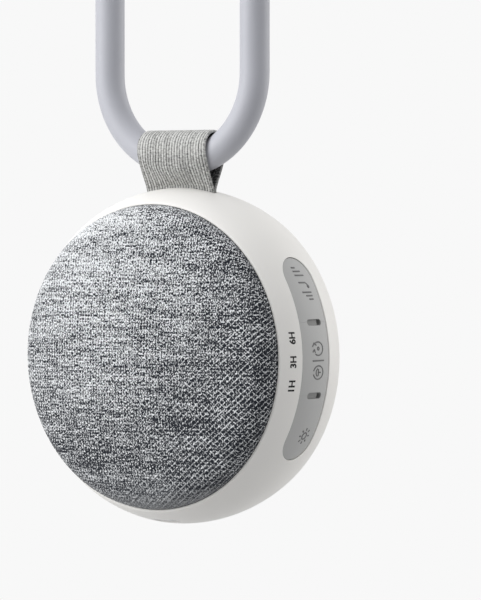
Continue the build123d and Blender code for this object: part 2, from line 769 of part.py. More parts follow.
def gate_tip_cutter(shift):
    """Block above the slanted parting face at the gate's tip, raised by shift."""
    size = 6 * ring_tube_radius
    tilt = Rot(0, gate_tip_slope, 0)
    place = Pos(ring_half_width, 0, gate_pin_z + gate_length + shift)
    return place * tilt * Pos(0, 0, size / 2) * Box(size, size, size)


def make_ring():
    """Hanging ring, its gate, the gate's pin and spring, by node name."""
    reach = ring_tube_radius
    pin_place = Pos(ring_half_width, 0, gate_pin_z)
    across = pin_place * Rot(90, 0, 0)
    shoulder_z = gate_pin_z - reach - gate_gap
    ring = ring_bend(False) + ring_bend(True) + ring_leg(-1, lower_bend_z, upper_bend_z)
    ring += ring_leg(1, lower_bend_z, shoulder_z)
    tip_part = ring_leg(1, gate_pin_z + gate_length - 2 * reach, upper_bend_z)
    ring += tip_part & gate_tip_cutter(gate_gap / 2)
    tongue_radius = reach - tongue_gap
    tongue = block((ring_half_width - tongue_radius, ring_half_width + tongue_radius),
                   (-tongue_thickness / 2, tongue_thickness / 2), (shoulder_z, gate_pin_z))
    tongue += across * Cylinder(tongue_radius, tongue_thickness)
    ring += tongue & ring_leg(1, shoulder_z, gate_pin_z + reach)
    pocket_depth = spring_turns * 2 * spring_wire + spring_pocket_spare
    pocket_radius = spring_radius + spring_wire + spring_pocket_gap
    pocket = across * Pos(0, 0, -(tongue_thickness - pocket_depth) / 2) * Cylinder(pocket_radius,
                                                                                   pocket_depth)
    pin_hole = across * Cylinder(gate_pin_radius + gate_pin_gap, 4 * reach)
    ring = ring - pocket - pin_hole
    gate = ring_leg(1, gate_pin_z, gate_pin_z + gate_length + 2 * reach)
    gate -= gate_tip_cutter(-gate_gap / 2)
    cheek_end = across * Cylinder(reach + fit_gap, 2 * reach)
    gate += cheek_end & ring_leg(1, gate_pin_z - 2 * reach, gate_pin_z)
    slot = across * Cylinder(reach + gate_gap, tongue_thickness + 2 * tongue_gap)
    gate = gate - slot - pin_hole
    pin = across * Cylinder(gate_pin_radius, 2 * (reach - gate_pin_inset))
    pitch = 2 * spring_wire + spring_turn_gap
    coil_start = tongue_thickness / 2 - pocket_depth + spring_wire + spring_turn_gap
    coil = Solid.make_torus(spring_radius, spring_wire, Plane.XZ)
    coils = [Pos(ring_half_width, coil_start + k * pitch, gate_pin_z) * coil
             for k in range(spring_turns)]
    return {
        "hanging_ring": ring,
        "ring_gate": gate,
        "gate_pin": pin,
        "gate_spring": Compound(children=coils),
    }


# ---------------------------------------------------------------- assembly
def make_parts():
    """Every piece by node name, about the housing's centre."""
    parts = {
        "housing": make_housing(),
        "grille_cloth": dome_shell(0, cloth_thickness, front_ledge_y),
        "grille_frame": make_grille_frame(),
        "baffle": make_baffle(),
        "chassis_screws": make_chassis_screws(),
    }
    parts.update(make_speaker())
    parts.update(make_battery())
    parts.update(make_main_board())
    parts.update(make_charging_inlet())
    parts.update(make_key_strip(1, ("sound_key", "timer_key", "light_key")))
    parts.update(make_key_strip(-1, ("volume_down_key", "volume_up_key", "power_key")))
    parts.update(make_light())
    parts.update(make_strap())
    parts.update(make_ring())
    return parts


os.makedirs("parts", exist_ok=True)
for node, piece in make_parts().items():
    export_step(Pos(0, 0, -ring_crown_z) * piece, f"parts/{node}.step")
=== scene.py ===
"""Dresses a round portable sound machine that hangs from an oblong snap ring.

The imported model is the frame.  The pieces that show are modelled again at fine resolution with
Blender's own tools, every other piece keeps its mesh, and each one gets its finish.
"""

import logging
import math
from collections.abc import Callable, Iterator, Sequence
from contextlib import contextmanager
from dataclasses import dataclass, field
from enum import Enum

import bmesh
import bpy
import numpy as np
from mathutils import Matrix, Vector


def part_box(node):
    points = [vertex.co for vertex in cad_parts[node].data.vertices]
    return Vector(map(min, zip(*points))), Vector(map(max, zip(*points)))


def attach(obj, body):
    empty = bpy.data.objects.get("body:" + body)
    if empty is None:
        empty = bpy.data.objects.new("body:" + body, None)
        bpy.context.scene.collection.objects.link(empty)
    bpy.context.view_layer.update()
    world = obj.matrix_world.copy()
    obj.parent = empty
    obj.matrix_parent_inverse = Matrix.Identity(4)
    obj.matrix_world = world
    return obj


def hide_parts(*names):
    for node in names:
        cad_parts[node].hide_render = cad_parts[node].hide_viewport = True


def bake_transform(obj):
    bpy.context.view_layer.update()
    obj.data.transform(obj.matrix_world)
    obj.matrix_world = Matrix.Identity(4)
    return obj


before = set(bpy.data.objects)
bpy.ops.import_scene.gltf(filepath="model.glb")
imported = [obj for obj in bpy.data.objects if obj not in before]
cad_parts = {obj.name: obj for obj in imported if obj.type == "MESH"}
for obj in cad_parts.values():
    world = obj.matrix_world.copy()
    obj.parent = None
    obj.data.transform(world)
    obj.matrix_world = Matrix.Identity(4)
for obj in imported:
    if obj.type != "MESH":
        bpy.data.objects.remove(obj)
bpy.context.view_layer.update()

LOG = logging.getLogger("sound_machine")
MM = 0.001

Point = tuple[float, float]
Triple = tuple[float, float, float]
Colour = Triple

# How far a cutting tool stands out of what it cuts.
OVERSHOOT = 1.0 * MM

# Turns a flat drawing's right, up and out into the frame's +Y, +Z and +X: the machine's right side.
ON_RIGHT_SIDE = Matrix(((0, 0, 1), (1, 0, 0), (0, 1, 0)))
# Lettering on the right side reads upwards, so its right is +Z and its up is -Y.
READING_UP = Matrix(((0, 0, 1), (0, -1, 0), (1, 0, 0)))
# Turns a flat drawing to face the front: right is +X, up is +Z, out is -Y.
FACING_FRONT = Matrix(((1, 0, 0), (0, 0, -1), (0, 1, 0)))


class Side(Enum):
    """A side of the machine, with the sign of its X."""

    RIGHT = 1
    LEFT = -1


# ---- shader arithmetic
class Sock:
    """A shader socket that takes part in Python arithmetic: each step adds its Math node."""

    def __init__(self, recipe: "Recipe", socket: bpy.types.NodeSocket) -> None:
        """Wraps a socket of a recipe's node tree.

        Args:
            recipe: The recipe whose tree the socket belongs to.
            socket: The output socket.
        """
        self.recipe = recipe
        self.socket = socket

    def math(self, operation: str, *values: "Sock | float") -> "Sock":
        """Adds a Math node.

        Args:
            operation: The node's operation.
            values: The node's inputs in order.

        Returns:
            The node's result.
        """
        return self.recipe.sock("ShaderNodeMath", {"operation": operation}, dict(enumerate(values)))

    def __add__(self, other: "Sock | float") -> "Sock":
        """Sum."""
        return self.math("ADD", self, other)

    def __radd__(self, other: float) -> "Sock":
        """Sum with a number on the left."""
        return self.math("ADD", other, self)

    def __sub__(self, other: "Sock | float") -> "Sock":
        """Difference."""
        return self.math("SUBTRACT", self, other)

    def __rsub__(self, other: float) -> "Sock":
        """Difference from a number."""
        return self.math("SUBTRACT", other, self)

    def __mul__(self, other: "Sock | float") -> "Sock":
        """Product."""
        return self.math("MULTIPLY", self, other)

    def __rmul__(self, other: float) -> "Sock":
        """Product with a number on the left."""
        return self.math("MULTIPLY", other, self)

    def __truediv__(self, other: "Sock | float") -> "Sock":
        """Quotient."""
        return self.math("DIVIDE", self, other)

    def __pow__(self, other: float) -> "Sock":
        """Power."""
        return self.math("POWER", self, other)

    def __gt__(self, other: "Sock | float") -> "Sock":
        """1 where the socket is above the other value, else 0."""
        return self.math("GREATER_THAN", self, other)

    def floor(self) -> "Sock":
        """Largest whole number below."""
        return self.math("FLOOR", self)

    def fraction(self) -> "Sock":
        """Part after the point."""
        return self.math("FRACT", self)

    def wave(self) -> "Sock":
        """Cosine wave from 0 to 1 that peaks at each whole number."""
        return self.math("COSINE", self * math.tau) * 0.5 + 0.5

    def absolute(self) -> "Sock":
        """Distance from zero."""
        return self.math("ABSOLUTE", self)

    def clamped(self) -> "Sock":
        """Kept between 0 and 1."""
        return self.math("MINIMUM", self.math("MAXIMUM", self, 0.0), 1.0)

    def step(self, low: float, high: float) -> "Sock":
        """Soft step.

        Args:
            low: Where the step starts, at 0.
            high: Where it ends, at 1.  Below low, the step falls instead.

        Returns:
            The stepped value.
        """
        inputs = {"Value": self, "From Min": low, "From Max": high}
        return self.recipe.sock("ShaderNodeMapRange", {"interpolation_type": "SMOOTHSTEP"}, inputs)


class Recipe:
    """One material's node tree, written top to bottom."""

    def __init__(self, name: str, tree: bpy.types.NodeTree | None = None) -> None:
        """Starts a material, or works in a tree that exists.

        Args:
            name: The material's name.
            tree: An existing tree, such as the world's.
        """
        self.material = None
        if tree is None:
            self.material = bpy.data.materials.new(name)
            self.material.use_nodes = True
            tree = self.material.node_tree
        self.tree = tree
        self.tree.nodes.clear()

    def node(self, kind: str, settings: dict | None = None, inputs: dict | None = None) -> bpy.types.Node:
        """Adds one node.

        Args:
            kind: The node's type.
            settings: Its settings, set first.
            inputs: Values or links by socket name or index.

        Returns:
            The node.
        """
        made = self.tree.nodes.new(kind)
        for key, value in (settings or {}).items():
            setattr(made, key, value)
        for key, value in (inputs or {}).items():
            self.feed(made.inputs[key], value)
        return made

    def feed(self, socket: bpy.types.NodeSocket, value: object) -> None:
        """Links or sets one input socket.

        Args:
            socket: The input socket.
            value: A Sock to link, or a number or tuple to set.
        """
        if isinstance(value, Sock):
            self.tree.links.new(value.socket, socket)
        elif isinstance(value, tuple) and socket.type == "RGBA":
            socket.default_value = (*value, 1.0) if len(value) == 3 else value
        else:
            socket.default_value = value

    def sock(self, kind: str, settings: dict | None = None, inputs: dict | None = None,
             output: int | str = 0) -> Sock:
        """Adds one node and returns one of its outputs.

        Args:
            kind: The node's type.
            settings: Its settings.
            inputs: Its inputs.
            output: Name or index of the output.

        Returns:
            The output socket.
        """
        return Sock(self, self.node(kind, settings, inputs).outputs[output])

    def place(self) -> Sock:
        """Object coordinates."""
        return self.sock("ShaderNodeTexCoord", output="Object")

    def seen(self) -> Sock:
        """Tells the rays that look at a surface from those that only carry its light.

        Returns:
            1 for camera, mirror and see-through rays, 0 for the others.
        """
        path = self.node("ShaderNodeLightPath")
        seen = Sock(self, path.outputs["Is Camera Ray"])
        for name in ("Is Glossy Ray", "Is Transmission Ray"):
            seen = seen.math("MAXIMUM", seen, Sock(self, path.outputs[name]))
        return seen

    def attribute(self, name: str) -> Sock:
        """A vector attribute of the piece."""
        return self.sock("ShaderNodeAttribute", {"attribute_name": name}, output="Vector")

    def parts(self, vector: Sock) -> tuple[Sock, Sock, Sock]:
        """The three numbers of a vector."""
        node = self.node("ShaderNodeSeparateXYZ", inputs={0: vector})
        return tuple(Sock(self, output) for output in node.outputs)

    def vector(self, x: Sock | float, y: Sock | float, z: Sock | float = 0.0) -> Sock:
        """A vector of three numbers."""
        return self.sock("ShaderNodeCombineXYZ", inputs={0: x, 1: y, 2: z})

    def scaled(self, vector: Sock, by: Triple) -> Sock:
        """A vector multiplied number by number."""
        return self.sock("ShaderNodeVectorMath", {"operation": "MULTIPLY"}, {0: vector, 1: by})

    def noise(self, vector: Sock, scale: float, detail: float = 2.0, rough: float = 0.5) -> Sock:
        """Smooth noise from 0 to 1.

        Args:
            vector: Where it is read.
            scale: Features to the unit.
            detail: Octaves of finer noise.
            rough: Strength of the finer octaves.

        Returns:
            The noise.
        """
        inputs = {"Vector": vector, "Scale": scale, "Detail": detail, "Roughness": rough}
        return self.sock("ShaderNodeTexNoise", {}, inputs)

    def speck(self, vector: Sock) -> Sock:
        """An even random number for each vector."""
        return self.sock("ShaderNodeTexWhiteNoise", {"noise_dimensions": "3D"}, {"Vector": vector})

    def mix(self, first: Sock | Colour, second: Sock | Colour, factor: Sock | float) -> Sock:
        """Blends two colours.

        Args:
            first: The colour at factor 0.
            second: The colour at factor 1.
            factor: The share of the second.

        Returns:
            The blended colour.
        """
        node = self.node("ShaderNodeMix", {"data_type": "RGBA"})
        for index, value in ((0, factor), (6, first), (7, second)):
            self.feed(node.inputs[index], value)
        return Sock(self, node.outputs[2])

    def bump(self, height: Sock, distance: float) -> Sock:
        """A surface normal raised by a height.

        Args:
            height: From 0 to 1.
            distance: Metres that a height of 1 stands for.

        Returns:
            The normal.
        """
        inputs = {"Strength": 1.0, "Distance": distance, "Height": height}
        return self.sock("ShaderNodeBump", {}, inputs)

    def finish(self, **inputs: object) -> bpy.types.Material:
        """Ends the recipe with a Principled surface.

        Args:
            inputs: The shader's sockets, with _ for spaces.

        Returns:
            The material.
        """
        named = {key.replace("_", " "): value for key, value in inputs.items()}
        shader = self.sock("ShaderNodeBsdfPrincipled", {}, named)
        self.node("ShaderNodeOutputMaterial", {}, {"Surface": shader})
        return self.material


# ---- finishes
def srgb(red: int, green: int, blue: int) -> Colour:
    """A colour of three display values from 0 to 255 as scene-linear numbers."""
    shares = [value / 255 for value in (red, green, blue)]
    return tuple(s / 12.92 if s <= 0.04045 else ((s + 0.055) / 1.055) ** 2.4 for s in shares)


@dataclass(frozen=True)
class MouldedFinish:
    """Moulded plastic or rubber: an even colour, a fine spark-eroded grain and faint handling.

    Attributes:
        name: The material's name.
        colour: Its colour.
        roughness: Its roughness.
        grain: Height of the grain in metres.
        grain_size: Size of the grain in metres.
        tone: How much the colour wanders.
        specular: Strength of the reflection.
    """

    name: str
    colour: Colour
    roughness: float = 0.4
    grain: float = 4e-6
    grain_size: float = 0.25 * MM
    tone: float = 0.05
    specular: float = 0.5

    def material(self) -> bpy.types.Material:
        """Writes the node tree.

        Returns:
            The material.
        """
        recipe = Recipe(self.name)
        place = recipe.place()
        cloud = recipe.noise(place, 35.0, 3.0)
        grain = recipe.noise(place, 1 / self.grain_size, 3.0, 0.6)
        rub = recipe.noise(recipe.scaled(place, (1.0, 2.2, 0.6)), 260.0, 4.0, 0.65)
        darker = tuple(value * (1 - self.tone) for value in self.colour)
        base = recipe.mix(darker, self.colour, cloud.step(0.3, 0.7))
        rough = self.roughness + (rub - 0.5) * 0.12 + (cloud - 0.5) * 0.08
        return recipe.finish(Base_Color=base, Roughness=rough, Specular_IOR_Level=self.specular,
                             Normal=recipe.bump(grain, self.grain))


@dataclass(frozen=True)
class MetalFinish:
    """Turned or stamped metal with fine scratches.

    Attributes:
        name: The material's name.
        colour: Its colour.
        roughness: Its roughness.
    """

    name: str
    colour: Colour
    roughness: float = 0.3

    def material(self) -> bpy.types.Material:
        """Writes the node tree.

        Returns:
            The material.
        """
        recipe = Recipe(self.name)
        place = recipe.place()
        brushed = recipe.noise(recipe.scaled(place, (1.0, 14.0, 1.0)), 900.0, 4.0, 0.6)
        stain = recipe.noise(place, 120.0, 3.0)
        base = recipe.mix(tuple(value * 0.8 for value in self.colour), self.colour, stain)
        return recipe.finish(Base_Color=base, Metallic=1.0, Roughness=self.roughness + brushed * 0.15,
                             Normal=recipe.bump(brushed, 3e-6))


@dataclass(frozen=True)
class BoardFinish:
    """Circuit board: solder mask over fine copper tracks.

    Attributes:
        name: The material's name.
        mask: The solder mask's colour.
        cells: Cells of the track pattern to the metre.
    """

    name: str
    mask: Colour
    cells: float = 700.0

    def material(self) -> bpy.types.Material:
        """Writes the node tree.

        Returns:
            The material.
        """
        recipe = Recipe(self.name)
        place = recipe.place()
        x, _, z = recipe.parts(place)
        cell = recipe.vector((x * self.cells).floor(), (z * self.cells).floor())
        track = (recipe.speck(cell) > 0.62) * ((x * self.cells + z * (self.cells / 2)).wave() > 0.55)
        copper = recipe.mix(self.mask, tuple(value * 1.7 for value in self.mask), track)
        return recipe.finish(Base_Color=copper, Roughness=0.35 + track * 0.1,
                             Normal=recipe.bump(track, 2e-5))


@dataclass(frozen=True)
class PaperFinish:
    """Pressed speaker paper or shrink film, with a fibrous surface.

    Attributes:
        name: The material's name.
        colour: Its colour.
        roughness: Its roughness.
        fibre: Size of the fibres in metres.
    """

    name: str
    colour: Colour
    roughness: float = 0.8
    fibre: float = 0.5 * MM

    def material(self) -> bpy.types.Material:
        """Writes the node tree.

        Returns:
            The material.
        """
        recipe = Recipe(self.name)
        place = recipe.place()
        fibres = recipe.noise(place, 1 / self.fibre, 6.0, 0.7)
        base = recipe.mix(tuple(value * 0.7 for value in self.colour), self.colour, fibres.step(0.3, 0.7))
        return recipe.finish(Base_Color=base, Roughness=self.roughness, Normal=recipe.bump(fibres, 4e-5))


@dataclass(frozen=True)
class MelangeKnit:
    """Melange cloth: pale yarn in a diagonal net over dark yarn that shows between its stitches.

    Attributes:
        name: The material's name.
        wide: Width of one diamond of the net in metres.
        tall: Its height.
        reach: Radius of the cloth in metres, by which its tones, its painted light and its painted shade
            spread.
        flecks: Flecks of dark yarn to the metre across and up.
        slubs: Thick and thin places of the yarn to the metre across and up.
        bands: Rows of one tone to the metre across and up.
        pale: The pale yarn's colour.
        dark: The dark yarn's colour.
    """

    name: str = "melange_knit"
    wide: float = 2.1 * MM
    tall: float = 1.74 * MM
    reach: float = 50.0 * MM
    flecks: Triple = (3400.0, 1750.0, 1.0)
    slubs: Triple = (80.0, 1500.0, 1.0)
    bands: Triple = (26.0, 210.0, 1.0)
    pale: Colour = srgb(242, 244, 246)
    dark: Colour = srgb(30, 34, 42)

    def material(self) -> bpy.types.Material:
        """Writes the node tree on the cloth's own flat coordinates.

        Returns:
            The material.
        """
        recipe = Recipe(self.name)
        flat = recipe.attribute("flat")
        across, up, _ = recipe.parts(flat)
        sway = recipe.noise(flat, 500.0, 2.0) - 0.5
        right, high = across / self.wide + sway * 0.10, up / self.tall + sway * 0.14
        row, column = high - right, high + right
        loops = (right * 2).wave() * 0.75 + (high * 2).wave() * 0.25 - 0.5
        cell = recipe.vector((right * 2 + 0.5).floor(), (high * 2 + 0.5).floor())
        chance = recipe.speck(cell) - 0.5
        fleck = recipe.noise(recipe.scaled(flat, self.flecks), 1.0, 1.0, 0.5) - 0.5
        slub = recipe.noise(recipe.scaled(flat, self.slubs), 1.0, 2.0, 0.6) - 0.5
        band = recipe.noise(recipe.scaled(flat, self.bands), 1.0, 2.0, 0.5) - 0.5
        # Painted light: the cloth is lightest near its upper left and darker the farther a point lies from
        # there.
        aside, below = across / self.reach + 0.6, up / self.reach - 0.9
        painted_light_falloff = (aside * aside + below * below) ** 0.3 - 0.875
        # Towards the lower right the knit turns to its open net: partly its pattern, partly painted shade
        # in the gaps on the side away from the light.
        shaded_net_side = ((across * 0.85 - up * 0.5) / self.reach).step(0.0, 0.75)
        gap = (row.fraction() - 0.5).absolute().step(0.46, 0.26)
        brick = gap * (column.fraction() - 0.5).absolute().step(0.5, 0.34)
        closed = fleck * 11.5 + loops * 1.1 + chance * 1.1 + slub * 3.6 + band * 2.0 + painted_light_falloff * 1.35 + 0.70
        net = brick * 1.55 + fleck * 6.0 + chance * 0.6 + slub * 2.0 + band * 0.8 + painted_light_falloff * 0.5
        depth = closed + (net - closed) * shaded_net_side * 0.8
        foot = (up / -self.reach).step(0.5, 0.9)
        depth = depth + (0.6 - depth) * foot * 0.85
        colour = recipe.mix(self.pale, self.dark, depth.step(-0.15, 1.15))
        height = (1 - brick) * 0.6 + loops * 0.3 - fleck * 0.8
        return recipe.finish(Base_Color=colour, Roughness=0.88, Specular_IOR_Level=0.2,
                             Sheen_Weight=0.12, Sheen_Roughness=0.45,
                             Normal=recipe.bump(height, 1.6e-4))


@dataclass(frozen=True)
class RibbedTape:
    """Elastic tape of melange yarn with ribs along its length.

    Attributes:
        name: The material's name.
        rib: Width of one rib in metres.
        shade_below_ring: Where painted shade darkens the tape below the ring, where it turns to face down,
            in metres from the top of the loop.
        picks: Cross threads to the metre.
        pale: The ribs' colour.
        dark: The colour between the ribs.
    """

    name: str = "ribbed_tape"
    rib: float = 0.97 * MM
    shade_below_ring: Point = (8.0 * MM, 11.5 * MM)
    picks: float = 2400.0
    pale: Colour = srgb(216, 216, 213)
    dark: Colour = srgb(62, 62, 61)

    def material(self) -> bpy.types.Material:
        """Writes the node tree on the tape's own flat coordinates.

        Returns:
            The material.
        """
        recipe = Recipe(self.name)
        flat = recipe.attribute("flat")
        _, along, rib_height = recipe.parts(flat)
        fray = recipe.noise(recipe.scaled(flat, (1.0, 0.4, 0.0)), 3000.0, 3.0, 0.65) - 0.5
        knot = recipe.noise(recipe.scaled(flat, (0.5, 1.0, 0.0)), 1900.0, 2.0, 0.6) - 0.5
        streak = recipe.noise(recipe.scaled(flat, (1.0, 0.05, 0.0)), 1100.0, 2.0) - 0.5
        valley = (1 - rib_height).step(0.25, 0.95)
        # Painted shade: the tape is darker below the ring, where it turns to face down.
        shade_below_ring = along.absolute().step(*self.shade_below_ring)
        depth = (0.15 + valley * 0.95 + knot * 1.5 + fray * 1.4 + streak + shade_below_ring * 0.17).clamped()
        colour = recipe.mix(self.pale, self.dark, depth)
        height = rib_height * 0.5 + fray * 0.6 + (along * self.picks).wave() * 0.2
        return recipe.finish(Base_Color=colour, Roughness=0.88, Specular_IOR_Level=0.2,
                             Sheen_Weight=0.2, Sheen_Roughness=0.5,
                             Normal=recipe.bump(height, 9e-5))


@dataclass(frozen=True)
class WarmGlow:
    """Frosted cover of the night light, lit from inside.

    Attributes:
        name: The material's name.
        centre: Centre of the cover in the frame.
        radius: Radius of the cover.
        middle: Light at the middle.
        rim: Light near the rim.
        edge: Light at the very edge.
        strength: Strength of the light.
    """

    name: str
    centre: Vector
    radius: float
    middle: Colour = srgb(255, 246, 212)
    rim: Colour = srgb(255, 232, 172)
    edge: Colour = srgb(235, 188, 110)
    strength: float = 0.86

    def material(self) -> bpy.types.Material:
        """Writes the node tree: the cover glows by its distance from the axis.

        Returns:
            The material.
        """
        recipe = Recipe(self.name)
        place = recipe.place()
        x, _, z = recipe.parts(place)
        rise = z - self.centre.z
        share = ((x * x + rise * rise) ** 0.5) / self.radius
        cloud = recipe.noise(place, 30.0, 2.0)
        outer = recipe.mix(self.middle, self.rim, (share + (cloud - 0.5) * 0.05).step(0.70, 0.95))
        glow = recipe.mix(outer, self.edge, share.step(0.93, 1.005))
        grain = recipe.noise(place, 5000.0, 2.0)
        return recipe.finish(Base_Color=srgb(120, 112, 96), Roughness=0.45, Emission_Color=glow,
                             Emission_Strength=self.strength, Normal=recipe.bump(grain, 3e-6))


HOUSING_FINISH = MouldedFinish("warm_white_plastic", srgb(246, 244, 240), 0.42, 3e-6, tone=0.02)
KEY_FINISH = MouldedFinish("grey_silicone", srgb(187, 187, 186), 0.55, 5e-6, 0.2 * MM, 0.03, 0.4)
ICON_FINISH = MouldedFinish("darker_grey_silicone", srgb(110, 110, 110), 0.6, 5e-6, 0.2 * MM, 0.03, 0.4)
# Painted shade: a darker silicone for the faces inside the keys' slots, where shade falls in the recess.
SHADE_FINISH = MouldedFinish("slot_silicone", srgb(152, 152, 151), 0.6, 5e-6, 0.2 * MM, 0.03, 0.3)
INK_FINISH = MouldedFinish("black_ink", srgb(12, 12, 12), 0.5, 2e-6, 0.15 * MM, 0.1, 0.3)
RING_FINISH = MouldedFinish("blue_grey_plastic", srgb(188, 189, 196), 0.5, 5e-6, 0.22 * MM, 0.03, 0.4)
BEZEL_FINISH = MouldedFinish("slate_plastic", srgb(158, 160, 170), 0.38, 3e-6, 0.22 * MM, 0.03)
INLET_FINISH = MouldedFinish("black_inlet_plastic", srgb(28, 28, 30), 0.5)
DARK_FINISH = MouldedFinish("dark_inner_plastic", srgb(46, 47, 50), 0.55)
RUBBER_FINISH = MouldedFinish("soft_rubber", srgb(36, 36, 38), 0.75, 8e-6)
STEEL_FINISH = MetalFinish("plated_steel", (0.62, 0.62, 0.63), 0.28)
SPEAKER_STEEL_FINISH = MetalFinish("zinc_plated_steel", (0.50, 0.51, 0.53), 0.4)
CONE_FINISH = PaperFinish("cone_paper", srgb(40, 41, 44))
FOIL_FINISH = PaperFinish("battery_film", srgb(176, 182, 190), 0.35, 2.0 * MM)
BOARD_FINISH = BoardFinish("green_board", srgb(24, 84, 50))
LAMP_FINISH = MouldedFinish("lamp_resin", srgb(240, 226, 150), 0.3)

NODE_FINISHES = {
    "grille_frame": DARK_FINISH, "baffle": DARK_FINISH, "battery_tray": DARK_FINISH,
    "light_tray": HOUSING_FINISH, "main_board_chips": INLET_FINISH, "right_switches": INLET_FINISH,
    "left_switches": INLET_FINISH, "speaker_surround": RUBBER_FINISH,
    "speaker_gasket": RUBBER_FINISH, "chassis_screws": STEEL_FINISH, "speaker_screws": STEEL_FINISH,
    "strap_bar": STEEL_FINISH, "gate_pin": STEEL_FINISH, "gate_spring": STEEL_FINISH,
    "speaker_basket": SPEAKER_STEEL_FINISH, "speaker_magnet": SPEAKER_STEEL_FINISH,
    "speaker_cone": CONE_FINISH, "battery": FOIL_FINISH, "main_board": BOARD_FINISH,
    "charge_board": BOARD_FINISH, "right_key_board": BOARD_FINISH, "left_key_board": BOARD_FINISH,
    "led_board": BOARD_FINISH, "led_chips": LAMP_FINISH,
}


class PaintBox:
    """Keeps one material for each finish."""

    def __init__(self) -> None:
        """Starts empty."""
        self.made: dict[str, bpy.types.Material] = {}

    def give(self, obj: bpy.types.Object, finish: object) -> None:
        """Puts a finish on a piece.

        Args:
            obj: The piece.
            finish: A finish with a name and a material method.
        """
        if finish.name not in self.made:
            self.made[finish.name] = finish.material()
        obj.data.materials.clear()
        obj.data.materials.append(self.made[finish.name])


# ---- bench
def deselect_all() -> None:
    """Leaves nothing selected."""
    for other in list(bpy.context.selected_objects):
        other.select_set(False)


def alone(obj: bpy.types.Object) -> None:
    """Makes an object the only selected one, and the active one.

    Args:
        obj: The object.
    """
    deselect_all()
    obj.select_set(True)
    bpy.context.view_layer.objects.active = obj


